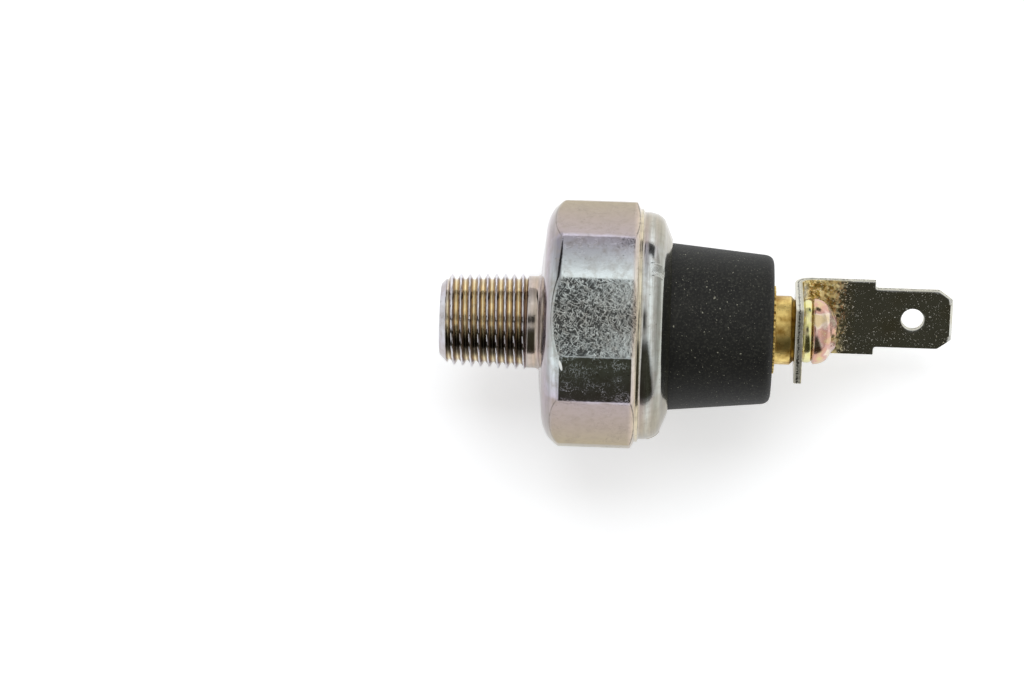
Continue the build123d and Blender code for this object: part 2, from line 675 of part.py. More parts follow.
def spring_washer():
    """Split washer, pressed flat, with a leaning gap."""
    hole = SCREW_DIAMETER / 2 + WASHER_HOLE_CLEARANCE
    washer = ring(X_PLATE_FRONT, X_HEAD, WASHER_RADIUS, hole)
    gap = Box(3 * WASHER_THICKNESS, WASHER_SPLIT, 2 * WASHER_RADIUS)
    leaning = Pos((X_PLATE_FRONT + X_HEAD) / 2, 0, WASHER_RADIUS) * Rot(0, 0, WASHER_SPLIT_LEAN) * gap
    return washer - clocked(leaning, WASHER_SPLIT_ANGLE)


def terminal_screw():
    """Pan head screw with a cross recess, its shank drawn at the thread's pitch line."""
    top = X_HEAD + SCREW_HEAD_HEIGHT
    edge = (top - SCREW_HEAD_CROWN, SCREW_HEAD_RADIUS)
    crown_radius = (SCREW_HEAD_RADIUS**2 + SCREW_HEAD_CROWN**2) / (2 * SCREW_HEAD_CROWN)
    outline = Curve() + [
        Polyline((top, 0), (X_HEAD, 0), (X_HEAD, SCREW_HEAD_RADIUS), edge),
        RadiusArc(edge, (top, 0), crown_radius),
    ]
    face = make_face(outline)
    shoulder = face.vertices().filter_by(
        lambda v: abs(v.X - edge[0]) < 1e-4 and abs(v.Y - edge[1]) < 1e-4
    )
    head = revolve(fillet(shoulder, SCREW_HEAD_ROUND), Axis.X)
    shank = ring(X_HEAD - SCREW_LENGTH, X_HEAD, SCREW_RADIUS)
    cross = Rectangle(RECESS_SPAN, RECESS_WIDTH) + Rectangle(RECESS_WIDTH, RECESS_SPAN)
    recess = extrude(across(top) * cross, -RECESS_DEPTH, taper=RECESS_TAPER)
    return head + shank - clocked(recess, RECESS_TURN)


PIECES = {
    "hex_body": hex_body,
    "diaphragm_seal": diaphragm_seal,
    "diaphragm": diaphragm,
    "contact_plate": contact_plate,
    "packing_ring": packing_ring,
    "pressure_plate": pressure_plate,
    "push_pin": push_pin,
    "moving_contact": moving_contact,
    "contact_spring": contact_spring,
    "spring_seat": spring_seat,
    "setting_screw": setting_screw,
    "locking_drop": locking_drop,
    "terminal_insert": terminal_insert,
    "insulator": insulator,
    "cap_seal": cap_seal,
    "terminal_blade": terminal_blade,
    "spring_washer": spring_washer,
    "terminal_screw": terminal_screw,
}

os.makedirs("parts", exist_ok=True)
for name, make in PIECES.items():
    export_step(make(), f"parts/{name}.step")
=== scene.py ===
"""Oil pressure sender, lying on one flat of its hexagon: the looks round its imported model.

Sizes are in millimetres until a mesh is made. X runs along the axis from the thread to the blade, Y is the
photograph's up, Z points at the camera. Angles round the axis start at +Z and grow towards +Y.
"""
import logging
from dataclasses import dataclass, field
from enum import Enum

import bpy
import numpy as np
from mathutils.geometry import delaunay_2d_cdt
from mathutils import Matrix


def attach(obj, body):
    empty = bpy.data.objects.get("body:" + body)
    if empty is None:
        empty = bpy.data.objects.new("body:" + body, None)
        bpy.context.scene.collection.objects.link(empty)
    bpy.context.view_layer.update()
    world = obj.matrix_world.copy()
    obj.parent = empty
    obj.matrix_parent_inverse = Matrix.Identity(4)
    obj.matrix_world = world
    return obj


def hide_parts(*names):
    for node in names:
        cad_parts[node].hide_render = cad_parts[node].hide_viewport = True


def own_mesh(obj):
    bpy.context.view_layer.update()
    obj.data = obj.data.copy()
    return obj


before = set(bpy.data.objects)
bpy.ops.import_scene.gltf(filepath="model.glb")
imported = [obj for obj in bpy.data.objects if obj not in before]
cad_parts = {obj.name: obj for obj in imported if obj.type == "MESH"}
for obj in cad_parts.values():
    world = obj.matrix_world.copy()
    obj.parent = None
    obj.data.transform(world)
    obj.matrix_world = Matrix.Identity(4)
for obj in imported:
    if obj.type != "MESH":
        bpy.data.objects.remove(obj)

LOG = logging.getLogger("sender")
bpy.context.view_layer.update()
MM = 0.001
BODY = "sender"
FACES = np.radians(np.arange(0, 360, 60))
Array = np.ndarray
Piece = bpy.types.Object
Socket = bpy.types.NodeSocket
Feed = Socket | float | str | tuple


def linear_rgb(code: str) -> tuple[float, float, float, float]:
    """Turns an sRGB hex code into a linear colour.

    Args:
        code: six hex digits after a hash.

    Returns:
        Red, green, blue and an alpha of one.
    """
    part = np.array([int(code[i : i + 2], 16) for i in (1, 3, 5)]) / 255
    shade = np.where(part <= 0.04045, part / 12.92, ((part + 0.055) / 1.055) ** 2.4)
    return (*shade.tolist(), 1.0)


def smooth_step(values: Array, low: float, high: float) -> Array:
    """Rises from 0 at low to 1 at high as 3t^2 - 2t^3."""
    t = np.clip((values - low) / (high - low), 0, 1)
    return t * t * (3 - 2 * t)


def softened(corners: Array, cuts: list[float], steps: int = 4) -> Array:
    """Rounds the corners of a closed outline.

    Each corner C becomes the curve A(1-t)^2 + 2Ct(1-t) + Bt^2, where A and B lie the corner's cut away from C
    on its two sides, or just short of the side's middle where the side is short.

    Args:
        corners: points along axis 0 and coordinates along the last axis; axes between them are columns.
        cuts: one distance for each corner, 0 for a corner that stays as it is.
        steps: spans in each rounded corner.

    Returns:
        The rounded outline, with the same columns.
    """
    rows = []
    for here, back, ahead, cut in zip(corners, np.roll(corners, 1, 0), np.roll(corners, -1, 0), cuts):
        ends = []
        for other in (back, ahead):
            length = np.maximum(np.linalg.norm(other - here, axis=-1, keepdims=True), 1e-9)
            ends.append(here + (other - here) * np.minimum(cut / length, 0.46))
        t = np.linspace(0, 1, steps + 1).reshape(-1, *[1] * here.ndim)
        curve = ends[0] * (1 - t) ** 2 + 2 * here * t * (1 - t) + ends[1] * t**2
        rows.append(curve if cut else here[None])
    return np.concatenate(rows)


def arc(x: float, r: float, radius: float, start: float, end: float, steps: int) -> Array:
    """Points on a circle round (x, r): (x + R cos a, r + R sin a) with a from start to end, in degrees."""
    a = np.radians(np.linspace(start, end, steps + 1))
    return np.stack([x + radius * np.cos(a), r + radius * np.sin(a)], -1)


def widened(outline: Array | list, count: int) -> Array:
    """Repeats an outline of (x, r) in each of some columns."""
    return np.repeat(np.asarray(outline, float)[:, None], count, 1)


def spun(outline: Array, angles: Array) -> Array:
    """Turns an outline of (x, r) round the axis: a point at angle a is (x, r sin a, r cos a).

    Args:
        outline: rows by columns of (x, r).
        angles: one angle for each column, in radians.

    Returns:
        Rows by columns of points.
    """
    x, r = outline[..., 0], outline[..., 1]
    return np.stack([x, r * np.sin(angles), r * np.cos(angles)], -1)


def net(rows: int, columns: int, close_rows: bool, close_columns: bool = True) -> Array:
    """Quads between the points of a grid, whose point (i, j) has the number i * columns + j.

    Args:
        rows: points down the grid.
        columns: points across it.
        close_rows: joins the last row to the first.
        close_columns: joins the last column to the first.

    Returns:
        One row of four point numbers for each quad.
    """
    spans = np.arange(rows - (not close_rows)), np.arange(columns - (not close_columns))
    down, right = np.meshgrid(*spans, indexing="ij")
    below, beside = (down + 1) % rows, (right + 1) % columns
    corners = [(down, right), (down, beside), (below, beside), (below, right)]
    return np.stack([i * columns + j for i, j in corners], -1).reshape(-1, 4)


def fan(ring: Array, centre: int) -> Array:
    """Triangles from each side of a ring of point numbers to one point."""
    return np.stack([ring, np.roll(ring, -1), np.full(len(ring), centre)], 1)


@dataclass
class Shell:
    """Points and faces of one closed piece while it is put together."""

    points: Array
    quads: Array
    triangles: Array = field(default_factory=lambda: np.zeros((0, 3), int))

    @classmethod
    def wrapped(cls, points: Array) -> "Shell":
        """A skin on a grid of points that closes both ways."""
        return cls(points.reshape(-1, 3), net(*points.shape[:2], True))

    def volume(self) -> float:
        """Signed volume: the sum of a . (b x c) / 6 over all triangles.

        Returns:
            The volume, positive where the faces look outwards.
        """
        three = np.concatenate([self.triangles, self.quads[:, [0, 1, 2]], self.quads[:, [0, 2, 3]]])
        a, b, c = (self.points[three[:, k]] for k in range(3))
        return float(np.einsum("ij,ij->", a, np.cross(b, c)) / 6)

    def make(self, name: str, finish: "Finish", node: str, crease: float = 32.0) -> Piece:
        """Makes the Blender object, dresses it and ties it to the frame.

        Args:
            name: the piece's name.
            finish: what its surface is.
            node: the model's node that it stands for, which is hidden.
            crease: edges that turn more than this many degrees are shaded sharp.

        Returns:
            The finished object, at the origin.
        """
        way = -1 if self.volume() < 0 else 1
        faces = [*self.quads[:, ::way].tolist(), *self.triangles[:, ::way].tolist()]
        mesh = bpy.data.meshes.new(name)
        mesh.from_pydata((self.points * MM).tolist(), [], faces, shade_flat=False)
        mesh.validate()
        mesh.set_sharp_from_angle(angle=np.radians(crease))
        piece = bpy.data.objects.new(name, mesh)
        bpy.context.scene.collection.objects.link(piece)
        mesh.materials.append(finish.material())
        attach(piece, BODY)
        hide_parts(node)
        return piece


def note(piece: Piece, name: str, values: Array) -> None:
    """Keeps one number for each point of a piece, for its finish to read."""
    layer = piece.data.attributes.new(name, "FLOAT", "POINT")
    layer.data.foreach_set("value", values.astype(np.float32))


class Sheet:
    """One material's or world's nodes while they are laid out."""

    def __init__(self, name: str, owner: bpy.types.ID | None = None) -> None:
        """Starts an empty sheet.

        Args:
            name: the name of the new material, where no owner is given.
            owner: what the nodes belong to.
        """
        self.owner = owner or bpy.data.materials.new(name)
        self.owner.use_nodes = True
        self.tree = self.owner.node_tree
        self.tree.nodes.clear()

    def add(self, kind: str, into: dict[int | str, Feed], out: int | str = 0, **settings) -> Socket | None:
        """Adds a node.

        Args:
            kind: the node's type without its ShaderNode prefix.
            into: what goes into its sockets: numbers, colours, hex codes or other nodes' outputs.
            out: the output that is wanted.
            **settings: the node's own properties.

        Returns:
            The wanted output socket, if the node has any.
        """
        made = self.tree.nodes.new("ShaderNode" + kind)
        for key, value in settings.items():
            setattr(made, key, value)
        for key, value in into.items():
            if isinstance(value, Socket):
                self.tree.links.new(value, made.inputs[key])
            else:
                made.inputs[key].default_value = linear_rgb(value) if isinstance(value, str) else value
        return made.outputs[out] if made.outputs else None

    def place(self) -> Socket:
        """The piece's own coordinates in metres."""
        return self.add("TexCoord", {}, "Object")

    def noted(self, name: str) -> Socket:
        """The number that a piece keeps under this name."""
        return self.add("Attribute", {}, "Fac", attribute_name=name)

    def axes(self, at: Socket, names: str = "YZX") -> list[Socket]:
        """Single coordinates of a place or a direction."""
        return [self.add("SeparateXYZ", {0: at}, axis) for axis in names]

    def math(self, operation: str, *terms: Feed, **settings) -> Socket:
        """One sum on sockets and numbers."""
        return self.add("Math", dict(enumerate(terms)), operation=operation, **settings)

    def plus(self, value: Socket, factor: float, more: Feed, **settings) -> Socket:
        """A value times a factor, plus more."""
        return self.math("MULTIPLY_ADD", value, factor, more, **settings)

    def sums(self, total: Feed, *terms: Feed) -> Socket:
        """Adds up, and keeps each sum between 0 and 1.

        Args:
            total: the first number or socket.
            *terms: the others.

        Returns:
            The sum's socket.
        """
        for term in terms:
            total = self.math("ADD", total, term, use_clamp=True)
        return total

    def product(self, first: Feed, *others: Feed) -> Socket:
        """Multiplies.

        Args:
            first: the first number or socket.
            *others: the others.

        Returns:
            The product's socket.
        """
        for other in others:
            first = self.math("MULTIPLY", first, other)
        return first

    def slope(self, value: Socket, low: float, high: float, top: float = 1.0) -> Socket:
        """A mask that goes straight from 0 at low to the top at high, and stays level outside."""
        return self.add("MapRange", {"Value": value, "From Min": low, "From Max": high, "To Max": top})

    def span(self, value: Socket, low: float, high: float, top: float = 1.0) -> Socket:
        """A slope whose two ends are in millimetres."""
        return self.slope(value, low * MM, high * MM, top)

    def between(self, value: Socket, first: float, last: float) -> Socket:
        """Lays a value from 0 to 1 out between two others."""
        return self.add("MapRange", {"Value": value, "To Min": first, "To Max": last})

    def stops(self, value: Socket, steps: list[tuple[float, str | float]]) -> Socket:
        """Colours or levels that go straight from stop to stop.

        Args:
            value: where on the line a place is, from 0 to 1.
            steps: place and hex code, or place and level, of each stop.

        Returns:
            The colour's socket.
        """
        shade = self.add("ValToRGB", {0: value})
        line = shade.node.color_ramp.elements
        line.remove(line[-1])
        for index, (place, tone) in enumerate(steps):
            stop = line.new(place) if index else line[0]
            stop.position = place
            stop.color = linear_rgb(tone) if isinstance(tone, str) else (tone, tone, tone, 1)
        return shade

    def noise(self, at: Socket, size: float, detail: float, roughness: float = 0.5) -> Socket:
        """Smooth noise round 0.5, whose patches have a size in millimetres."""
        scale = 1 / (size * MM)
        return self.add("TexNoise", {"Vector": at, "Scale": scale, "Detail": detail, "Roughness": roughness})

    def laid(
        self, at: Socket, scale: list[float], turn: tuple = (0, 0, 0), centre: tuple = (0, 0, 0)
    ) -> Socket:
        """Coordinates counted from a centre.

        Args:
            at: the coordinates that they are made from.
            scale: what counts as one along each axis, in millimetres.
            turn: how they are turned, in degrees round X, Y and Z.
            centre: where they are zero, in millimetres.

        Returns:
            The coordinates' socket.
        """
        into = {"Vector": at, "Rotation": [float(np.radians(angle)) for angle in turn]}
        into["Location"], into["Scale"] = ([value * MM for value in three] for three in (centre, scale))
        return self.add("Mapping", into, vector_type="TEXTURE")

    def speck(
        self, at: Socket, size: float, low: float, high: float, detail: float = 2.0,
        turn: tuple = (0, 0, 0), stretch: tuple = (1, 1, 1),
    ) -> Socket:
        """A mask of blotches or streaks: noise cut off softly between two levels.

        Args:
            at: the coordinates that it is laid on.
            size: a blotch's size in millimetres.
            low: noise level where the mask starts to rise from 0.
            high: noise level where it reaches 1.
            detail: octaves of finer noise.
            turn: how the pattern is turned, in degrees round X, Y and Z.
            stretch: how many times longer a blotch is along each axis.

        Returns:
            The mask's socket, from 0 to 1.
        """
        laid = self.laid(at, [size * times for times in stretch], turn)
        return self.slope(self.noise(laid, 1 / MM, detail, 0.55), low, high)

    def blend(self, share: Socket, first: Feed, second: Feed) -> Socket:
        """Mixes two colours by a share."""
        return self.add("Mix", {0: share, 6: first, 7: second}, 2, data_type="RGBA")

    def over(self, colour: Feed, *layers: tuple[Socket, Feed]) -> Socket:
        """Lays layers over a colour one after another.

        Args:
            colour: what lies under them.
            *layers: the share and the shade of each.

        Returns:
            The colour's socket.
        """
        for share, shade in layers:
            colour = self.blend(share, colour, shade)
        return colour

    def finish(self, shader: Socket) -> bpy.types.Material:
        """Ends the material with this shader."""
        self.add("OutputMaterial", {"Surface": shader})
        return self.owner

    def surface(
        self, colour: Socket, rough: Socket, height: Socket, strength: Feed, relief: float, **more: Feed
    ) -> bpy.types.Material:
        """Ends the material as one opaque surface.

        Args:
            colour: its colour.
            rough: its roughness.
            height: its relief, from 0 to 1 or so.
            strength: how much of the relief shows.
            relief: how high 1 stands, in millimetres.
            **more: other sockets of the shader.

        Returns:
            The finished material.
        """
        normal = self.add("Bump", {"Height": height, "Strength": strength, "Distance": relief * MM})
        into = {"Base Color": colour, "Roughness": rough, "Normal": normal, **more}
        return self.finish(self.add("BsdfPrincipled", into))


@dataclass(frozen=True)
class Finish:
    """A surface that pieces are made of; each kind draws its own nodes once."""

    name: str

    def material(self) -> bpy.types.Material:
        """The finish's material, drawn when it is first asked for."""
        return bpy.data.materials.get(self.name) or self.draw(Sheet(self.name))

    def draw(self, sheet: Sheet) -> bpy.types.Material:
        """Draws the nodes of this finish."""
        raise NotImplementedError


@dataclass(frozen=True)
class PassivatedZinc(Finish):
    """Bright zinc plate with a clear to yellow passivation, barrel plated and tumbled.

    The film is about as thick as a wavelength of light, so its tint drifts from straw to pink, violet and
    blue as it thins round the part. Tumbling leaves shallow dents and fine curled scuffs, which catch the
    bright walls where the flat itself mirrors something dark. The turned collar and lip stay smooth.
    """

    # tint by degrees from the top of the part, mirrored on the far side
    TINTS = (
        (0, "#c6c9c4"), (16, "#ccd4d2"), (20, "#e2eced"), (26, "#d3dadd"), (33, "#c8c9d1"), (41, "#c4bcc8"),
        (43, "#ab9d9c"), (62, "#a8998e"), (78, "#a99c84"), (86, "#a99e86"), (91, "#a6b284"), (104, "#a09592"),
        (130, "#a0959c"), (150, "#a4abae"), (180, "#a59a8e"),
    )
    # tint along the axis, in millimetres from the nose, and how much of it shows over the tint by angle
    STATIONS = (
        (0.0, "#c4bfc6", 0.75), (8.6, "#c8c0c0", 0.8), (9.8, "#c9b4a0", 0.8), (10.4, "#b4a4a8", 0.85),
        (11.1, "#a2939c", 0.8), (11.5, "#8e8890", 0.5), (11.9, "#b4b0b6", 0.0), (19.5, "#c8b6ac", 0.0),
        (19.9, "#cdbaa8", 0.75), (20.45, "#e2d6b4", 0.8), (20.8, "#b4aaa8", 0.2), (21.4, "#eaf2f0", 0.75),
        (21.9, "#b4b2aa", 0.7), (22.2, "#a2a49a", 0.85), (22.6, "#b6b8ae", 0.85), (23.0, "#9c9e92", 0.85),
        (23.4, "#bcbca4", 0.9),
    )
    NOSE = -4.0

    def tint(self, sheet: Sheet, at: Socket) -> Socket:
        """The film's colour at a place, with a painted dark reflection along the front edge of one corner and
        olive sides on the collar.

        Args:
            sheet: where the nodes go.
            at: the coordinates that it is laid on.

        Returns:
            The colour's socket.
        """
        across, high, along = sheet.axes(at)
        turn = sheet.math("ARCTAN2", across, high)
        away = sheet.math("ABSOLUTE", turn)
        shifted = sheet.plus(sheet.noise(at, 5, 3.0, 0.6), 0.14, away)
        turned = sheet.slope(shifted, 0.07, np.pi + 0.07)
        by_angle = sheet.stops(turned, [(degrees / 180, code) for degrees, code in self.TINTS])
        length = self.STATIONS[-1][0]
        run = sheet.span(along, self.NOSE, length + self.NOSE)
        by_place, share = (
            sheet.stops(run, [(row[0] / length, row[column]) for row in self.STATIONS]) for column in (1, 2)
        )
        # painted dark reflection: a dark band along the front edge of the corner on the +Y side
        edge = sheet.product(
            sheet.span(along, 7.3, 7.9, 0.75), sheet.span(along, 8.5, 8.35), sheet.slope(turn, 0.12, 0.4),
            sheet.slope(turn, 0.8, 0.7),
        )
        collar = sheet.product(sheet.span(along, 16.5, 17.0, 0.7), sheet.slope(away, 0.7, 1.2))
        # the front-edge layer is the painted dark reflection; the collar layer gives the olive sides
        return sheet.over(by_angle, (share, by_place), (edge, "#5c5660"), (collar, "#a4977c"))

    def curls(self, sheet: Sheet, at: Socket, size: float, width: float) -> Socket:
        """Thin curled scuffs: lines where smooth noise crosses its middle level, broken up by coarser noise.

        Args:
            sheet: where the nodes go.
            at: the coordinates that they are laid on.
            size: a curl's size in millimetres.
            width: how far from the middle level a line reaches.

        Returns:
            The mask's socket, from 0 to 1.
        """
        away = sheet.math("ABSOLUTE", sheet.math("SUBTRACT", sheet.noise(at, size, 0.0), 0.5))
        lines = sheet.slope(away, width, 0.2 * width)
        return sheet.product(lines, sheet.speck(at, 1.2 * size, 0.48, 0.55, 1.0))

    @staticmethod
    def nick_glint(sheet: Sheet, at: Socket) -> Socket:
        """A nick by the front of one corner, its glint painted on as a white spot: an oval of 0.16 by 0.6 mm,
        turned by 15 degrees.
        """
        oval = sheet.laid(at, [0.16, 0.6, 1.0], (0, 0, 15), (8.67, -4.9, 11.66))
        return sheet.slope(sheet.add("VectorMath", {0: oval}, "Value", operation="LENGTH"), 1.0, 0.75)

    def draw(self, sheet: Sheet) -> bpy.types.Material:
        """Tint by place, dents and curls in the relief, dark nicks, turning lines, painted shade on arcs, a
        painted glint.

        Args:
            sheet: where the nodes go.

        Returns:
            The finished material.
        """
        at = sheet.place()
        worn, nick_glint = sheet.noted("worn"), self.nick_glint(sheet, at)
        uneven = sheet.between(sheet.speck(at, 0.4, 0.4, 0.6), 0.45, 0.9)
        rings = sheet.speck(at, 0.22, 0.44, 0.62, 2.0, (0, 0, 0), (1, 18, 18))
        colour = sheet.over(
            self.tint(sheet, at),
            (sheet.product(sheet.speck(at, 0.8, 0.45, 0.75, 4.0), 0.45), "#94887a"),
            (sheet.product(sheet.speck(at, 0.24, 0.67, 0.72, 3.0), 0.7), "#4c4a44"),
            # painted shade: dark arcs where the front round and the rear chamfer meet the side flats
            (sheet.product(sheet.noted("edge_shade"), uneven), "#4e4a44"),
            (sheet.product(rings, sheet.slope(worn, 0.3, 0.1, 0.32)), "#7c7a70"),
            # painted glint: the nick's white spot, drawn without metal
            (nick_glint, "#f2f4f0"),
        )
        scuffs = sheet.sums(
            self.curls(sheet, at, 0.62, 0.04), self.curls(sheet, at, 0.36, 0.055),
            sheet.speck(at, 0.12, 0.64, 0.68, 1.0, (10, 0, 57), (9, 1, 1)),
            sheet.speck(at, 0.12, 0.64, 0.68, 1.0, (-15, 0, -26), (9, 1, 1)),
            sheet.speck(at, 0.10, 0.66, 0.70, 1.0, (5, 0, 84), (7, 1, 1)),
        )
        clumps = sheet.between(sheet.speck(at, 1.5, 0.42, 0.60, 3.0), 0.15, 1.0)
        seen = sheet.product(scuffs, worn, clumps)
        height = sheet.plus(seen, 1.1, sheet.noise(at, 0.46, 2.0))
        metal = sheet.math("SUBTRACT", 1.0, nick_glint)
        return sheet.surface(colour, sheet.between(seen, 0.11, 0.36), height, worn, 0.03, Metallic=metal)


@dataclass(frozen=True)
class ThreadZinc(PassivatedZinc):
    """The same plate on the rolled thread: silver on the crests, golden in the roots, painted shade along the
    lower side.
    """

    def tint(self, sheet: Sheet, at: Socket) -> Socket:
        """The film's colour by how deep in the groove a place is, with painted highlights on the crests and
        painted dark reflections on the flanks.

        Args:
            sheet: where the nodes go.
            at: the coordinates that it is laid on.

        Returns:
            The colour's socket.
        """
        groove, lower_shade, plain = (sheet.noted(name) for name in ("groove", "lower_shade", "plain"))
        # silver crests partly film, partly painted highlight; dark flank band painted dark reflection; golden
        # roots the film pooled there
        steps = [(0.0, "#e4e4ea"), (0.26, "#ccc2c6"), (0.46, "#7c6864"), (0.68, "#a08668"), (1.0, "#f0deb4")]
        # painted shade: the grooves darken along the lower side
        shaded_grooves = sheet.product(groove, lower_shade)
        return sheet.over(sheet.stops(groove, steps), (shaded_grooves, "#3a342c"), (plain, super().tint(sheet, at)))


@dataclass(frozen=True)
class BrightStrip(Finish):
    """Bright nickel-tin plate on brass strip, punched and folded: a dark mirror with hairlines and dots."""

    # the sheared edge through the thickness: pale corner, dark torn band, pale corner
    TORN = ((0.46, "#dcd9ca"), (0.54, "#38362c"), (0.66, "#403e34"), (0.74, "#e4e1d4"), (1.0, "#bcb9a8"))

    def draw(self, sheet: Sheet) -> bpy.types.Material:
        """Grey mirror, crazed to the brass along its bend, with pale and golden specks and hairlines.

        Args:
            sheet: where the nodes go.

        Returns:
            The finished material.
        """
        at = sheet.place()
        cloud = sheet.noise(at, 3.5, 3.0)
        plate = sheet.stops(cloud, [(0.3, "#ccccc6"), (0.52, "#d6d6d0"), (0.7, "#cac6b4")])
        ragged = sheet.plus(cloud, 1.6 * MM, *sheet.axes(at, "X"))
        crazed = sheet.speck(at, 0.5, 0.42, 0.60, 3.0)
        bend = sheet.product(sheet.span(ragged, 33.4, 34.4), sheet.span(ragged, 39.4, 37.2))
        patch = sheet.product(sheet.span(ragged, 35.4, 36.4), sheet.span(ragged, 38.2, 37.4), crazed)
        lines = sheet.sums(
            sheet.speck(at, 0.09, 0.71, 0.75, 1.0, (0, 0, 52), (18, 1, 1)),
            sheet.speck(at, 0.09, 0.72, 0.76, 1.0, (0, 0, -34), (12, 1, 1)),
        )
        marks = sheet.sums(sheet.speck(at, 0.18, 0.69, 0.735, 1.0), sheet.product(lines, 0.7))
        speckle = sheet.blend(sheet.speck(at, 0.34, 0.60, 0.72, 2.0), "#f8f6ec", "#e6d092")
        rim = sheet.noted("rim")
        broken = sheet.plus(sheet.speck(at, 0.16, 0.35, 0.65, 2.0), 0.3, sheet.noted("depth"))
        colour = sheet.over(
            plate, (bend, sheet.blend(crazed, "#9c8a50", "#ffeaa8")), (sheet.product(marks, 0.8), speckle),
            (rim, sheet.stops(broken, self.TORN)),
        )
        parts = [sheet.product(*pair) for pair in ((bend, 0.12), (patch, 0.9), (rim, 0.7))]
        worn = sheet.sums(marks, *parts)
        waved = sheet.plus(sheet.noise(at, 0.7, 1.0), 3.0, sheet.noise(at, 0.26, 2.0))
        height, strength = sheet.plus(marks, 0.5, waved), sheet.between(bend, 0.09, 1.0)
        return sheet.surface(colour, sheet.between(worn, 0.13, 0.55), height, strength, 0.09, Metallic=1.0)


@dataclass(frozen=True)
class TurnedBrass(Finish):
    """Free-cutting brass, turned and lightly tarnished: warm, with tool lines and dull patches."""

    shade: str = "#f0d484"
    tarnish: str = "#b48e46"

    def draw(self, sheet: Sheet) -> bpy.types.Material:
        """Tool lines every 0.16 mm along the axis, tarnish in clouds, small dark pits.

        Args:
            sheet: where the nodes go.

        Returns:
            The finished material.
        """
        at = sheet.place()
        clouds = sheet.speck(at, 1.4, 0.38, 0.66, 4.0)
        pits = sheet.product(sheet.speck(at, 0.22, 0.62, 0.70, 2.0), 0.5)
        lines = sheet.add("TexWave", {"Vector": at, "Scale": 1 / (0.5 * MM), "Distortion": 0.6}, 1)
        colour = sheet.over(self.shade, (clouds, self.tarnish), (pits, "#4a3614"))
        return sheet.surface(colour, sheet.between(clouds, 0.30, 0.48), lines, 0.35, 0.01, Metallic=1.0)


@dataclass(frozen=True)
class YellowZinc(Finish):
    """Zinc plate with a yellow passivation on a screw or washer: straw, rose and green bands, bright."""

    bands: tuple[str, ...] = ("#d2c68e", "#d8bc94", "#d2a48e", "#cea49a", "#ead8c4", "#dcc69c")
    band_size: float = 1.9

    def draw(self, sheet: Sheet) -> bpy.types.Material:
        """Interference bands that follow slow noise, with fine handling marks.

        Args:
            sheet: where the nodes go.

        Returns:
            The finished material.
        """
        at = sheet.place()
        drift = sheet.slope(sheet.noise(at, self.band_size, 2.0), 0.32, 0.68)
        steps = list(zip(np.linspace(0, 1, len(self.bands)).tolist(), self.bands))
        nicks = sheet.speck(at, 0.10, 0.62, 0.70, 2.0, (20, 40, 10), (5, 1, 1))
        colour = sheet.over(sheet.stops(drift, steps), (sheet.product(nicks, 0.4), "#eeeadc"))
        grain = sheet.noise(at, 0.3, 3.0)
        return sheet.surface(colour, sheet.between(nicks, 0.14, 0.36), grain, 0.4, 0.012, Metallic=1.0)


@dataclass(frozen=True)
class MouldedPhenolic(Finish):
    """Mineral-filled phenolic, compression moulded: matt black, pale filler specks and a dusty bloom."""

    def draw(self, sheet: Sheet) -> bpy.types.Material:
        """Near-black base, cloudy bloom, 0.1 mm filler specks drawn as coarse as they need to show.

        Args:
            sheet: where the nodes go.

        Returns:
            The finished material.
        """
        at = sheet.place()
        bloom = sheet.speck(at, 2.6, 0.36, 0.70, 4.0)
        mottle = sheet.speck(at, 0.22, 0.50, 0.72, 2.0)
        dust, grit = sheet.speck(at, 0.13, 0.71, 0.76, 1.0), sheet.speck(at, 0.3, 0.745, 0.76, 1.0)
        specks = sheet.sums(sheet.product(dust, 0.42), sheet.product(grit, 0.65))
        colour = sheet.over("#0b0b09", (bloom, "#161612"), (mottle, "#2e2e28"), (specks, "#a9a794"))
        grain = sheet.noise(at, 0.09, 3.0, 0.7)
        return sheet.surface(colour, sheet.between(grain, 0.5, 0.7), grain, 0.6, 0.02, IOR=1.4)


class Sheen(Enum):
    """How an inner piece answers light: metallic share, lowest and highest roughness."""

    METAL = (1.0, 0.22, 0.42)
    SATIN = (0.0, 0.45, 0.62)
    GLOSS = (0.0, 0.12, 0.28)
    RUBBER = (0.0, 0.62, 0.82)


@dataclass(frozen=True)
class InnerStock(Finish):
    """Plain stock of a piece inside: metal, moulded plastic, fibre, film, rubber or lacquer."""

    light: str
    dark: str
    sheen: Sheen
    grain_size: float
    relief: float

    def draw(self, sheet: Sheet) -> bpy.types.Material:
        """Two tones in clouds over a fine grain that also carries the relief.

        Args:
            sheet: where the nodes go.

        Returns:
            The finished material.
        """
        at = sheet.place()
        grain = sheet.noise(at, self.grain_size, 4.0)
        both = sheet.plus(grain, 0.5, sheet.speck(at, 1.8, 0.35, 0.68, 4.0), use_clamp=True)
        metal, low, high = self.sheen.value
        colour, rough = sheet.blend(both, self.light, self.dark), sheet.between(grain, low, high)
        return sheet.surface(colour, rough, grain, 0.5, self.relief, Metallic=metal)


BODY_ZINC = PassivatedZinc("Zinc plate, clear to yellow passivated")
THREAD_ZINC = ThreadZinc("Zinc plate on the rolled thread")
STRIP = BrightStrip("Bright plated brass strip")
INSERT_BRASS = TurnedBrass("Turned brass")
SCREW_ZINC = YellowZinc("Zinc plate, yellow passivated, screw")
WASHER_ZINC = YellowZinc(
    "Zinc plate, yellow passivated, washer", ("#c9d0b0", "#e2dc94", "#e8e2a6", "#d2c69a", "#dcc4b4"), 1.5
)
PHENOLIC = MouldedPhenolic("Mineral-filled phenolic")


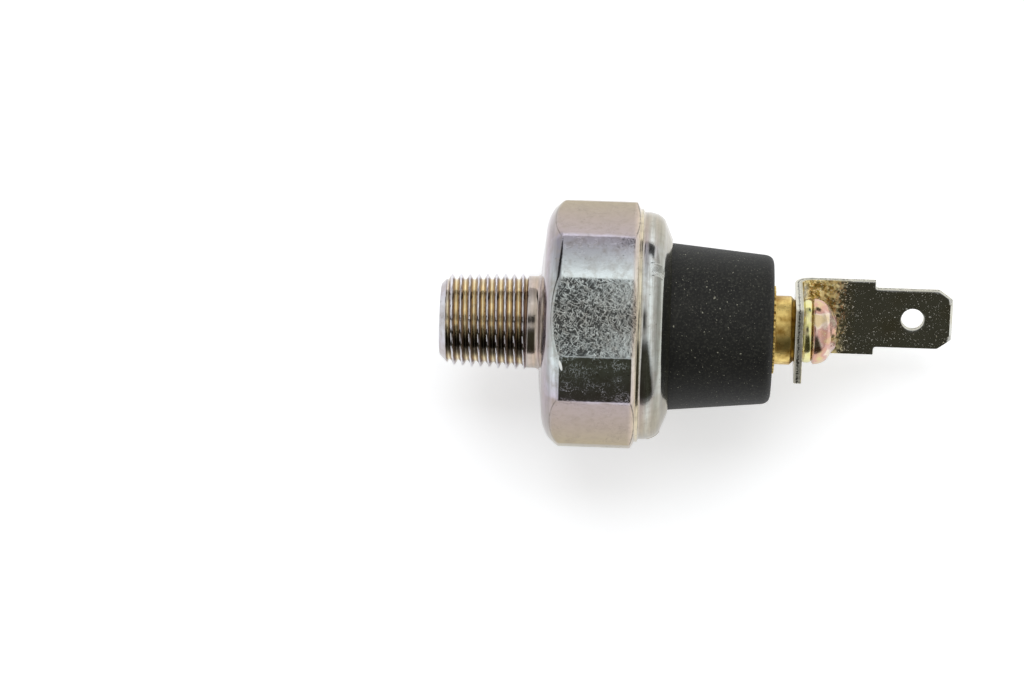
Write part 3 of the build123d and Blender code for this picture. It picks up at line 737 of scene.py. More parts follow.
@dataclass
class HexBody:
    """The steel body: hexagon with turned corners, thin collar, and a lip that is rolled in and staked."""

    skin_start: float = 5.1
    neck_start: float = 5.4
    hex_front: float = 6.3
    hex_rear: float = 16.5
    flat_radius: float = 12.0
    corner_radius: float = 12.65
    neck_radius: float = 4.725
    root_radius: float = 0.6
    cone_start: float = 6.425
    cone_angle: float = 5.8
    front_round: float = 3.9
    round_end: float = 56.0
    rear_angle: float = 30.0
    rear_land: float = 11.95
    land_length: float = 0.3
    collar_radius: float = 11.65
    collar_root: float = 0.25
    lip_lean_x: float = 16.9
    lip_bend_x: float = 17.55
    lip_outer: float = 1.3
    lip_inner: float = 0.4
    lip_slope: float = 22.0
    lip_edge: float = 8.85
    upper_bore: float = 10.75
    cup_radius: float = 10.1
    cup_step: float = 14.6
    seat: float = 10.5
    groove_outer: float = 8.8
    groove_inner: float = 6.9
    groove_depth: float = 1.1
    chamber_radius: float = 5.5
    chamber_floor: float = 9.6
    stem_core: float = 4.4
    stakes: tuple[float, ...] = (26.0, 146.0, 266.0)
    stake_width: float = 1.1
    stake_length: float = 1.5
    stake_depth: float = 0.3
    bend_steps: int = 6
    column_step: float = 2.0
    # rows of outside() that lie on the arc of the front round and on that of the rear chamfer
    round_row: int = 28
    chamfer_rows: tuple[int, int] = (34, 35)

    def angles(self) -> Array:
        """Column angles: even steps, closer together at the hexagon's edges and at the stakes.

        Returns:
            The angles in radians, from 0 up.
        """
        edge = np.degrees(np.arccos(self.flat_radius / self.corner_radius))
        near = np.add.outer([-edge, edge], [-1.0, -0.55, -0.25, 0.0, 0.25, 0.55, 1.0])
        edges = np.add.outer(np.arange(0, 360, 60), near)
        stakes = np.add.outer(self.stakes, np.linspace(-5, 5, 41))
        even = np.arange(0, 360, self.column_step)
        every = np.concatenate([even, edges.ravel() % 360, stakes.ravel() % 360])
        every = np.unique(np.round(every, 3))
        return np.radians(every[np.concatenate([[True], np.diff(every) > 0.12])])

    def hexagon_radius(self, angles: Array) -> Array:
        """Distance to the hexagon's skin: the least of a / cos(angle - face) over the flats and the turned R.

        The least is a soft one, -log(sum(exp(-k r))) / k, which leaves each long edge worn round.

        Args:
            angles: column angles in radians.

        Returns:
            One radius for each column.
        """
        sharpness, middle = 60.0, 12
        lean = np.cos(angles[:, None] - FACES)
        reach = np.where(lean > 0.5, self.flat_radius / np.maximum(lean, 0.5), 99.0)
        reach = np.concatenate([reach, np.full((len(angles), 1), self.corner_radius)], 1)
        return -np.log(np.exp(-sharpness * (reach - middle)).sum(1)) / sharpness + middle

    def outside(self, angles: Array) -> Array:
        """Outline from the neck over the hexagon to the collar, one column for each angle.

        The front round ends where it meets the skin: sin(a) = (R - start) / radius + sin(first). The rear
        chamfer is the line x = land - (r - 11.95) tan(30). Both meet the flats in arcs.

        Args:
            angles: column angles in radians.

        Returns:
            Rows by columns of (x, r).
        """
        skin = self.hexagon_radius(angles)
        first, last = np.radians([self.cone_angle, self.round_end])
        round_start = self.corner_radius - self.front_round * (np.sin(last) - np.sin(first))
        cone_rise = (round_start - self.cone_start) * np.tan(first)
        end = np.arcsin(np.clip((skin - round_start) / self.front_round + np.sin(first), -1, 0.999))
        turn = first + (end - first) * np.linspace(0, 1, 15)[:, None]
        x = self.hex_front + cone_rise + self.front_round * (np.cos(first) - np.cos(turn))
        front = np.stack([x, round_start + self.front_round * (np.sin(turn) - np.sin(first))], -1)
        land_x = self.hex_rear - self.land_length
        chamfer = np.stack([land_x - (skin - self.rear_land) * np.tan(np.radians(self.rear_angle)), skin], -1)
        foot = self.collar_radius + self.collar_root
        rear = [[land_x, self.rear_land], [self.hex_rear, self.rear_land], [self.hex_rear, foot]]
        land, land_end, step = widened(rear, len(angles))
        neck, root = self.neck_radius, self.root_radius
        inner = [
            [[self.skin_start, self.stem_core], [self.skin_start, neck], [self.neck_start, neck]],
            arc(self.hex_front - root, neck + root, root, -90, 0, 8),
            [[self.hex_front, self.cone_start - 0.3], [self.hex_front, self.cone_start]],
        ]
        back_root = arc(self.hex_rear + self.collar_root, foot, self.collar_root, 180, 270, 5)
        rows = [
            widened(np.concatenate(inner), len(angles)),
            front[:-5],
            self.eased(front[-6], front[-1], front[-1] + [0.5, 0.0], 0.6, 8),
            self.eased(front[-1], chamfer, land, 0.1),
            self.eased(chamfer, land, land_end, 0.05),
            self.eased(land, land_end, step, 0.1),
            widened(back_root, len(angles)),
        ]
        return np.concatenate(rows)

    @staticmethod
    def eased(back: Array, corner: Array, ahead: Array, cut: float, steps: int = 3) -> Array:
        """One corner of the outline, rounded in every column with the curve that softened() describes."""
        return softened(np.stack([back, corner, ahead]), [0, cut, 0], steps)[1:-1]

    def lip(self) -> Array:
        """Outline of the collar, the rolled bend, the slope over the cap, its round edge and the inner bend.

        The bend is a quarter ellipse (x0 + A cos t, r0 + B sin t): the collar leans in before it turns.

        Returns:
            Rows of (x, r).
        """
        centre = self.collar_radius - self.lip_outer
        slope = np.tan(np.radians(self.lip_slope))
        length = self.lip_bend_x + self.lip_outer - self.lip_lean_x
        t = np.linspace(np.pi / 2, np.arctan(slope * self.lip_outer / length), 26)
        bend = np.stack([self.lip_lean_x + length * np.cos(t), centre + self.lip_outer * np.sin(t)], -1)
        inner_bend = arc(self.lip_bend_x, centre, self.lip_inner, self.lip_slope, 90, self.bend_steps)
        outer_edge, inner_edge = (
            [x + (r - self.lip_edge) * slope, self.lip_edge] for x, r in (bend[-1], inner_bend[0])
        )
        sloping = bend[-1] + (np.array(outer_edge) - bend[-1]) * np.linspace(0, 1, 12)[1:-1, None]
        corners = np.array([sloping[-1], outer_edge, inner_edge, inner_bend[0]])
        edge = softened(corners, [0, 0.3, 0.22, 0], 5)[1:-1]
        straight = [[self.hex_rear + 0.32, self.collar_radius]]
        return np.concatenate([straight, bend, sloping, edge, inner_bend])

    def inside(self) -> list[list[float]]:
        """Outline of the bores from the lip down to the chamber, and the core that the stem fills."""
        groove_floor = self.seat - self.groove_depth
        return [
            [self.cup_step, self.upper_bore], [self.cup_step, self.cup_radius],
            [self.seat, self.cup_radius], [self.seat, self.groove_outer],
            [groove_floor, self.groove_outer], [groove_floor, self.groove_inner],
            [self.seat, self.groove_inner], [self.seat, self.chamber_radius],
            [self.chamber_floor, self.chamber_radius], [self.chamber_floor, self.stem_core],
        ]

    def rolled(self, points: Array, angles: Array, rows: slice) -> Array:
        """Presses the marks of rolling and staking into the lip's rows, in place.

        Rolling leaves the slope slightly uneven: x moves by 0.035 times three waves, more towards the edge.
        A stake is a square punch: a point inside its square, seen along the bend's middle normal, goes down
        to the floor 0.3 below the bend, which rises by 0.16 at its sides. The metal beside it stands up by
        0.05.

        Args:
            points: rows by columns of points, which change.
            angles: column angles in radians.
            rows: the lip's rows.

        Returns:
            How far each point of the rows belongs to a staked place, from 0 to 1.
        """
        x, radius = points[rows, :, 0], np.hypot(points[rows, :, 1], points[rows, :, 2])
        wave = 0.5 * np.sin(5 * angles + 0.7) + 0.35 * np.sin(11 * angles + 2.1) + 0.3 * np.sin(23 * angles)
        x = x + 0.035 * wave * smooth_step(self.collar_radius - radius, 0.3, 2.6)
        lean = np.radians((90 + self.lip_slope) / 2)
        c, s = np.cos(lean), np.sin(lean)
        half, reach = self.stake_width / 2, self.stake_length / 2
        staked = np.zeros_like(x)
        for stake in np.radians(self.stakes):
            swing = (angles - stake + np.pi) % (2 * np.pi) - np.pi
            side = radius * np.sin(swing)
            right, up = x - self.lip_bend_x, radius * np.cos(swing) - (self.collar_radius - self.lip_outer)
            height, place = right * c + up * s - self.lip_outer, right * s - up * c
            down = (1 - smooth_step(np.abs(place), reach, reach + 0.1)) * (np.abs(swing) < 0.3)
            inside = (1 - smooth_step(np.abs(side), half - 0.03, half + 0.05)) * down * (height > -0.8)
            floor = 0.16 * np.clip(side / half, -1, 1) ** 2 - self.stake_depth
            heap = np.exp(-(((np.abs(side) - half - 0.16) / 0.1) ** 2)) * down * (height > -0.5)
            press = inside * np.minimum(floor - height, 0) + 0.05 * heap
            staked = np.maximum(staked, inside)
            x = x + press * c
            radius = radius + press * s
        points[rows] = spun(np.stack([x, radius], -1), angles)
        return staked

    def build(self) -> Piece:
        """Builds the body as one closed skin, and notes where it is scuffed or staked and where painted shade
        darkens its edges.

        Returns:
            The finished object.
        """
        angles = self.angles()
        outer, lip = self.outside(angles), self.lip()
        rest = widened(np.concatenate([lip, self.inside()]), len(angles))
        points = spun(np.concatenate([outer, rest]), angles)
        rows = slice(len(outer), len(outer) + len(lip) - (self.bend_steps + 1))
        staked, edge_shade = np.zeros((2, *points.shape[:2]))
        staked[rows] = self.rolled(points, angles, rows)
        piece = Shell.wrapped(points).make("hexagon_and_rolled_lip", BODY_ZINC, "hex_body")
        y, z = points[..., 1, None], points[..., 2, None]
        lean = (y * np.sin(FACES) + z * np.cos(FACES)).max(-1)
        on_flat = smooth_step(lean, self.flat_radius - 0.07, self.flat_radius - 0.015)
        corner = self.corner_radius
        on_corner = smooth_step(np.hypot(y, z)[..., 0], corner - 0.1, corner - 0.01)
        worn = 0.1 + np.where(z[..., 0] > 9, 0.9, 0.4) * on_flat * (1 - on_corner) + 0.34 * on_corner
        note(piece, "worn", np.maximum(worn, 0.95 * staked).ravel())
        # the arcs that the finish darkens as painted shade
        away = np.degrees(np.minimum(angles, 2 * np.pi - angles))
        beside = smooth_step(away, 40, 43) * (1 - smooth_step(away, 77, 80))
        edge_shade[[self.round_row, *self.chamfer_rows]] = beside
        note(piece, "edge_shade", edge_shade.ravel())
        return piece


@dataclass
class ThreadedStem:
    """The stem with its taper thread, 28 turns to the inch, right-handed, and the oil way through it."""

    nose: float = -4.0
    nose_radius: float = 3.65
    pitch: float = 25.4 / 28
    crest_radius: float = 4.8
    taper: float = 1 / 16
    depth: float = 0.58
    thread_end: float = 4.95
    neck_radius: float = 4.727
    neck_end: float = 5.45
    core: float = 4.4
    port_radius: float = 1.8
    port_chamfer: float = 0.3
    port_end: float = 7.0
    orifice: float = 0.6
    chamber_floor: float = 9.6
    rows_a_pitch: int = 22
    columns: int = 200
    # where the painted shade along the lower side is darkest, in degrees
    lower_shade_angle: float = 317.0

    def ridge(self, x: Array, angles: Array) -> Array:
        """Radius of the thread at x and an angle.

        The turn number is x / pitch + angle / 360, because a right-handed ridge comes back by one pitch over
        a turn that goes from up towards +Y. The ridge is full within 0.07 of a whole turn, falls almost
        straight to 0.42 and leaves a round root. A slow wave makes some crests lower, as tumbling does.

        Args:
            x: places along the axis, one row each.
            angles: column angles in radians.

        Returns:
            Rows by columns of radii.
        """
        turns = x / self.pitch + angles / (2 * np.pi)
        nearest = np.round(turns)
        straight = np.clip((0.42 - np.abs(turns - nearest)) / 0.35, 0, 1)
        form = 0.72 * straight + 0.28 * straight**2
        wear = 0.025 * (np.sin(2.3 * nearest + 1.0) + np.sin(3 * angles + 1.7 * nearest))
        return self.crest_radius + x * self.taper / 2 - self.depth + (self.depth + wear - 0.02) * form

    def outline(self, angles: Array) -> Array:
        """Nose chamfer, thread, run-out and the hidden core, with the oil way back to the nose.

        Args:
            angles: column angles in radians.

        Returns:
            Rows by columns of (x, r).
        """
        x = np.arange(self.nose + 0.03, self.thread_end + 0.2, self.pitch / self.rows_a_pitch)[:, None]
        fade = smooth_step(x, self.thread_end - 0.3, self.thread_end + 0.1)
        radius = self.ridge(x, angles) * (1 - fade) + self.neck_radius * fade
        radius = np.minimum(radius, self.nose_radius + (x - self.nose))
        thread = np.stack([np.broadcast_to(x, radius.shape), radius], -1)
        nose = [
            [self.chamber_floor, self.core], [self.chamber_floor, self.orifice],
            [self.port_end, self.orifice], [self.port_end, self.port_radius],
            [self.nose + self.port_chamfer, self.port_radius],
            [self.nose, self.port_radius + self.port_chamfer], [self.nose, self.nose_radius - 0.06],
        ]
        tail = [[self.neck_end, self.neck_radius], [self.neck_end + 0.05, self.core]]
        return np.concatenate([widened(nose, len(angles)), thread, widened(tail, len(angles))])

    def build(self) -> Piece:
        """Builds the stem as one closed skin, and notes how deep each place lies and where painted shade lies
        on the lower side.

        Returns:
            The finished object.
        """
        angles = np.linspace(0, 2 * np.pi, self.columns, endpoint=False)
        outline = self.outline(angles)
        stem = Shell.wrapped(spun(outline, angles)).make("threaded_stem", THREAD_ZINC, "hex_body", crease=50)
        x, radius = outline[..., 0], outline[..., 1]
        groove = np.clip((self.crest_radius + x * self.taper / 2 - radius) / self.depth, 0, 1)
        chamfered = smooth_step(self.nose + 0.9 - x, 0, 0.3)
        plain = np.maximum(chamfered, smooth_step(x, self.thread_end - 0.1, self.thread_end + 0.1))
        # painted shade: a band round one angle on the lower side
        lower_shade = np.exp(-(((np.degrees(angles) - self.lower_shade_angle) / 22) ** 4)) + 0 * x
        for name, values in (("groove", groove), ("plain", plain), ("lower_shade", lower_shade), ("worn", 0 * x + 0.2)):
            note(stem, name, values.ravel())
        return stem


@dataclass
class MouldedCap:
    """The moulded cap: skirt and flange inside the body, a shoulder under the lip, and the tower."""

    skirt: float = 11.9
    cavity_radius: float = 7.0
    disc_radius: float = 10.0
    flange_x: float = 14.75
    flange_radius: float = 10.65
    seal_x: float = 15.65
    seal_section: float = 1.0
    upper_bore: float = 10.75
    lip_bend_x: float = 17.55
    shoulder: tuple[float, float, float, float] = (17.891, 10.5, 18.63, 8.63)
    draft: float = 5.4
    top: float = 29.95
    insert_hole: float = 4.15
    well_radius: float = 3.05
    insert_bottom: float = 22.01
    cavity_top: float = 16.3
    column_step: float = 2.0

    def outline(self) -> Array:
        """The cap's section, with the tower drawn in by its draft and a moulded round at every outer corner.

        Returns:
            Rows of (x, r).
        """
        x1, r1, x2, r2 = self.shoulder
        top_radius = r2 - (self.top - x2) * np.tan(np.radians(self.draft))
        seal_end = self.seal_x + self.seal_section + 0.1
        floor = self.upper_bore - self.seal_section
        corners = [
            [self.skirt, self.cavity_radius], [self.skirt, self.disc_radius],
            [self.flange_x, self.disc_radius], [self.flange_x, self.flange_radius],
            [self.seal_x, self.flange_radius], [self.seal_x, floor],
            [seal_end, floor], [seal_end, self.flange_radius], [self.lip_bend_x - 0.03, self.flange_radius],
            [x1, r1], [x2, r2], [self.top, top_radius], [self.top, self.insert_hole],
            [self.insert_bottom, self.insert_hole], [self.insert_bottom, self.well_radius],
            [self.cavity_top, self.well_radius], [self.cavity_top, self.cavity_radius],
        ]
        cuts = [0.15, 0.15, 0, 0.1, 0.05, 0.05, 0.05, 0.05, 0.15, 0.1, 0.12, 0.95, 0, 0, 0.1, 0.1, 0.3]
        return softened(np.array(corners), cuts, 8)

    def build(self) -> Piece:
        """Builds the cap by turning its section.

        Returns:
            The finished object.
        """
        angles = np.radians(np.arange(0, 360, self.column_step))
        points = spun(widened(self.outline(), len(angles)), angles)
        return Shell.wrapped(points).make("moulded_cap", PHENOLIC, "insulator")


@dataclass
class BrassInsert:
    """The brass insert: serrated flange in the cap's top, neck with a chamfer, and the buried sleeve."""

    bottom: float = 22.01
    flange_top: float = 30.21
    flange_thickness: float = 1.5
    top: float = 32.19
    radius: float = 3.52
    bore: float = 1.78
    neck_chamfer: float = 0.4
    waist_depth: float = 0.5
    waist_length: float = 2.0
    tooth_radius: float = 0.3
    flange_radius: float = 4.5
    teeth: int = 30
    columns_a_tooth: int = 14

    def flange_edge(self, angles: Array) -> Array:
        """Serrated edge: a circle of radius b with a half-round tooth at each step.

        At the angle d from a tooth's middle it is b cos d + sqrt(t^2 - (b sin d)^2), and b between teeth.

        Args:
            angles: column angles in radians.

        Returns:
            One radius for each column.
        """
        base = self.flange_radius - self.tooth_radius
        step = 2 * np.pi / self.teeth
        d = (angles + step / 2) % step - step / 2
        under = self.tooth_radius**2 - (base * np.sin(d)) ** 2
        return np.where(under > 0, base * np.cos(d) + np.sqrt(np.maximum(under, 0)), base)

    def build(self) -> Piece:
        """Builds the insert with a column outline that swells at the flange.

        Returns:
            The finished object.
        """
        angles = np.radians(np.arange(0, 360, 360 / (self.teeth * self.columns_a_tooth)))
        edge = self.flange_edge(angles)
        low = self.flange_top - self.flange_thickness
        waist_end, waist = low - 1.0, self.radius - self.waist_depth
        waist_start = waist_end - self.waist_length
        fixed = [
            (self.bottom, self.bore), (self.bottom, self.radius), (waist_start, self.radius),
            (waist_start, waist), (waist_end, waist), (waist_end, self.radius), (low, self.radius),
            (low, edge), (self.flange_top, edge), (self.flange_top, self.radius),
            (self.top - self.neck_chamfer, self.radius), (self.top, self.radius - self.neck_chamfer),
            (self.top, self.bore),
        ]
        corners = np.stack([np.stack([x + 0 * edge, r + 0 * edge], -1) for x, r in fixed])
        cuts = [0, 0.1, 0.1, 0, 0, 0.1, 0, 0.05, 0.07, 0.08, 0.07, 0.07, 0.1]
        shell = Shell.wrapped(spun(softened(corners, cuts), angles))
        return shell.make("brass_insert", INSERT_BRASS, "terminal_insert")


def within(points: Array, loop: Array) -> Array:
    """Tells which points lie inside a closed loop: an odd number of its sides cross the ray towards +x.

    Args:
        points: rows of 2-D points.
        loop: the loop's points in order.

    Returns:
        One truth value for each point.
    """
    a, b = loop, np.roll(loop, -1, 0)
    y = points[:, 1][:, None]
    rise = np.where(np.abs(b[:, 1] - a[:, 1]) < 1e-12, 1e-12, b[:, 1] - a[:, 1])
    x = a[:, 0] + (y - a[:, 1]) * (b[:, 0] - a[:, 0]) / rise
    crosses = ((a[:, 1] > y) != (b[:, 1] > y)) & (points[:, 0][:, None] < x)
    return crosses.sum(1) % 2 == 1


def numbered(loops: list[Array]) -> list[Array]:
    """Point numbers of each loop, where the loops' points follow one another."""
    starts = np.cumsum([0, *map(len, loops)])
    return [np.arange(start, end) for start, end in zip(starts[:-1], starts[1:])]


def filled(loops: list[Array], extra: Array, holes: int) -> tuple[Array, Array]:
    """Fills a flat outline with triangles that keep every loop as edges.

    Args:
        loops: closed loops of 2-D points; the first is the outer edge.
        extra: single points inside, for an even net.
        holes: how many of the last loops are holes.

    Returns:
        The points, loops first and in their order, and the triangles outside the holes.
    """
    points = np.concatenate([*loops, extra])
    edges = np.concatenate([np.stack([ring, np.roll(ring, -1)], 1) for ring in numbered(loops)])
    made = delaunay_2d_cdt(points.tolist(), edges.tolist(), [], 0, 1e-7, True)
    source = np.array([ids[0] for ids in made[3]])
    triangles = source[np.array([face[:] for face in made[2]])]
    middle = points[triangles].mean(1)
    keep = within(middle, loops[0])
    for hole in loops[len(loops) - holes :]:
        keep &= ~within(middle, hole)
    return points, triangles[keep]


def edge_distance(points: Array, loop: Array) -> Array:
    """Distance from each point to the nearest side of a closed loop.

    Args:
        points: rows of 2-D points.
        loop: the loop's points in order.

    Returns:
        One distance for each point.
    """
    side = np.roll(loop, -1, 0) - loop
    way = points[:, None] - loop
    t = np.clip((way * side).sum(-1) / np.maximum((side**2).sum(-1), 1e-12), 0, 1)
    return np.linalg.norm(way - t[..., None] * side, axis=-1).min(1)


def inset(loop: Array, distance: float) -> Array:
    """Moves a counter-clockwise loop inwards: each point goes along the mean of its sides' normals.

    Args:
        loop: the loop's points in order.
        distance: how far, or outwards where it is negative.

    Returns:
        The moved loop.
    """
    sides = np.roll(loop, -1, 0) - loop, loop - np.roll(loop, 1, 0)
    units = (side / np.linalg.norm(side, axis=1, keepdims=True) for side in sides)
    mean = sum(np.stack([-unit[:, 1], unit[:, 0]], 1) for unit in units)
    return loop + distance * 2 * mean / np.maximum((mean**2).sum(1, keepdims=True), 0.5)


def ruled(loop: Array, step: float) -> Array:
    """Puts points on a closed loop's sides, evenly and about a step apart.

    Args:
        loop: the loop's corners in order.
        step: the distance between points.

    Returns:
        The loop with the added points.
    """
    ahead = np.roll(loop, -1, 0)
    spans = np.maximum(1, np.round(np.linalg.norm(ahead - loop, axis=1) / step).astype(int))
    sides = zip(loop, ahead, spans)
    return np.concatenate([a + (b - a) * np.linspace(0, 1, n, endpoint=False)[:, None] for a, b, n in sides])


def circle(count: int) -> Array:
    """Points (cos a, sin a) on the unit circle, counter-clockwise."""
    a = np.linspace(0, 2 * np.pi, count, endpoint=False)
    return np.stack([np.cos(a), np.sin(a)], 1)


@dataclass
class PushOnBlade:
    """The terminal: strip punched and folded to an L, with a square base plate and a 6.3 mm blade."""

    stock: float = 0.8
    back: float = 32.19
    free_edge: float = 5.0
    bend_radius: float = 1.0
    inside: float = 4.5
    shoulder_x: float = 40.59
    tip_x: float = 48.59
    strip_width: float = 8.0
    blade_width: float = 6.3
    tip_length: float = 1.45
    tip_inset: float = 1.05
    tip_bevel: float = 0.25
    hole_from_tip: float = 4.1
    hole_radius: float = 1.15
    screw_hole: float = 2.15
    slot_width: float = 2.1
    slot_length: float = 1.0
    slot_offset: float = 0.2
    clock: float = 157.4
    edge_round: float = 0.09
    net_step: float = 0.5
    hole_sides: int = 56

    def lengths(self) -> tuple[float, float, float]:
        """Lengths along the strip's middle line.

        Returns:
            Where the bend starts, where it ends, and where the tip is.
        """
        start = self.free_edge + self.inside - self.bend_radius
        end = start + (self.bend_radius + self.stock / 2) * np.pi / 2
        return start, end, end + self.tip_x - (self.back + self.stock + self.bend_radius)

    def loops(self) -> list[Array]:
        """The punched strip, laid flat.

        Returns:
            Its outer edge, then the slot, the screw hole and the blade's hole.
        """
        start, _, tip = self.lengths()
        shoulder = tip - (self.tip_x - self.shoulder_x)
        wide, blade = self.strip_width / 2, self.blade_width / 2
        half = np.array([
            [0, -wide], [shoulder, -wide], [shoulder, -blade], [tip - self.tip_length, -blade],
            [tip, self.tip_inset - blade],
        ])
        cuts = [0.2, 0.12, 0.3, 0.15, 0.12]
        outer = ruled(softened(np.concatenate([half, half[::-1] * [1, -1]]), cuts + cuts[::-1]), 0.4)
        slot_start = start - self.slot_offset
        slot_end = slot_start + self.slot_length
        w = self.slot_width / 2
        slot = np.array([[slot_start, -w], [slot_end, -w], [slot_end, w], [slot_start, w]])
        screw = circle(self.hole_sides) * self.screw_hole + [self.free_edge, 0]
        hole = circle(self.hole_sides) * self.hole_radius + [tip - self.hole_from_tip, 0]
        return [outer, ruled(softened(slot, [0.1] * 4, 3), 0.25), screw, hole]

    def folded(self, flat: Array, rise: Array) -> Array:
        """Folds points of the flat strip into the L.

        Before the bend the strip stands across the axis; in the bend a point turns by s / R about the bend's
        centre; after it the strip runs along the axis. The L then turns round the axis to its clock angle.

        Args:
            flat: rows of (s, w), along the strip and across it.
            rise: how high each point lies above the strip's middle.

        Returns:
            Rows of points in space.
        """
        start, end, _ = self.lengths()
        s, w = flat[:, 0], flat[:, 1]
        radius = self.bend_radius + self.stock / 2
        turn = np.clip((s - start) / radius, 0, np.pi / 2)
        centre = self.back + self.stock + self.bend_radius
        x = centre - (radius + rise) * np.cos(turn) + np.maximum(s - end, 0)
        u = self.inside - self.bend_radius + (radius + rise) * np.sin(turn) + np.minimum(s - start, 0)
        a = np.radians(self.clock)
        return np.stack([x, u * np.sin(a) + w * np.cos(a), u * np.cos(a) - w * np.sin(a)], 1)

    def inner_points(self, edges: list[Array]) -> Array:
        """Points for an even net on the strip, closer together in the bend, and a line for the tip's bevel.

        Args:
            edges: the outer edge and the holes.

        Returns:
            Rows of (s, w).
        """
        start, end, tip = self.lengths()
        step, side = self.net_step, self.strip_width / 2 - self.net_step / 2
        along = [np.arange(step, start, step), np.linspace(start, end, 17), np.arange(end + step, tip, step)]
        grid = np.meshgrid(np.concatenate(along), np.arange(-side, side + 0.1, step), indexing="ij")
        spread = np.stack(grid, -1).reshape(-1, 2)
        clear = within(spread, edges[0]) & (edge_distance(spread, edges[0]) > 0.2)
        for hole in edges[1:]:
            clear &= ~within(spread, hole) & (edge_distance(spread, hole) > 0.2)
        tip_line = np.stack([np.full(13, tip - self.tip_bevel), np.linspace(-1.8, 1.8, 13)], 1)
        return np.concatenate([spread[clear], tip_line])

    def build(self) -> Piece:
        """Builds the strip as two folded faces and its punched edges, all rounded, with a bevelled tip.

        The half thickness at a distance d from the nearest edge is T/2 - b(1 - sqrt(1 - (1 - d/b)^2)), and at
        the tip no more than T/2 - 0.25 + d.

        Returns:
            The finished object.
        """
        edges, tip, thick = self.loops(), self.lengths()[2], self.stock / 2
        loops = [edges[0], *(inset(edges[0], share * self.edge_round) for share in (0.35, 1))]
        loops += [inset(hole, -share * self.edge_round) for hole in edges[1:] for share in (0.35, 1)]
        loops += edges[1:]
        flat, triangles = filled(loops, self.inner_points(edges), 3)
        distance = np.min([edge_distance(flat, loop) for loop in edges], axis=0)
        near = np.clip(1 - distance / self.edge_round, 0, 1)
        half = thick - self.edge_round * (1 - np.sqrt(np.maximum(1 - near**2, 0)))
        half = np.minimum(half, thick - self.tip_bevel + np.maximum(tip - flat[:, 0], 0))
        count, rings = len(flat), numbered(loops)
        walls = []
        for ring, way in zip([rings[0], *rings[-3:]], (1, -1, -1, -1)):
            ahead = np.roll(ring, -1)
            walls.append(np.stack([ring, ring + count, ahead + count, ahead], 1)[:, ::way])
        points = np.concatenate([self.folded(flat, half), self.folded(flat, -half)])
        shell = Shell(points, np.concatenate(walls), np.concatenate([triangles, triangles[:, ::-1] + count]))
        piece = shell.make("push_on_blade", STRIP, "terminal_blade", crease=40)
        note(piece, "rim", np.tile(distance < 1e-6, 2))
        note(piece, "depth", np.repeat([0.0, 1.0], count))
        return piece


@dataclass
class SpringWasher:
    """The split washer, pressed flat, whose gap leans."""

    start: float = 32.99
    thickness: float = 1.05
    outer: float = 3.25
    inner: float = 2.1
    gap: float = 0.45
    lean: float = 22.0
    clock: float = 182.0

    def build(self) -> Piece:
        """Builds the washer: its rounded section at the angle a + (gap / 2 + lean * x) / r, and both caps.

        Returns:
            The finished object.
        """
        start, end, inner, outer = self.start, self.start + self.thickness, self.inner, self.outer
        corners = np.array([[start, inner], [start, outer], [end, outer], [end, inner]])
        section = softened(corners, [0.12, 0.44, 0.44, 0.12], 7)
        x, radius = section[:, :1], section[:, 1:]
        offset = (x - start - self.thickness / 2) * np.tan(np.radians(self.lean))
        first = (self.gap / 2 + offset) / radius
        last = 2 * np.pi + (offset - self.gap / 2) / radius
        angle = np.radians(self.clock) + first + (last - first) * np.linspace(0, 1, 140)
        points = spun(widened(section, angle.shape[1]), angle)
        rows, columns = angle.shape
        flat, ring = points.reshape(-1, 3), np.arange(rows) * columns
        caps = fan(ring, len(flat)), fan(ring + columns - 1, len(flat) + 1)[:, ::-1]
        middles = points[:, [0, -1]].mean(0)
        shell = Shell(np.concatenate([flat, middles]), net(rows, columns, True, False), np.concatenate(caps))
        return shell.make("spring_washer_ring", WASHER_ZINC, "spring_washer")


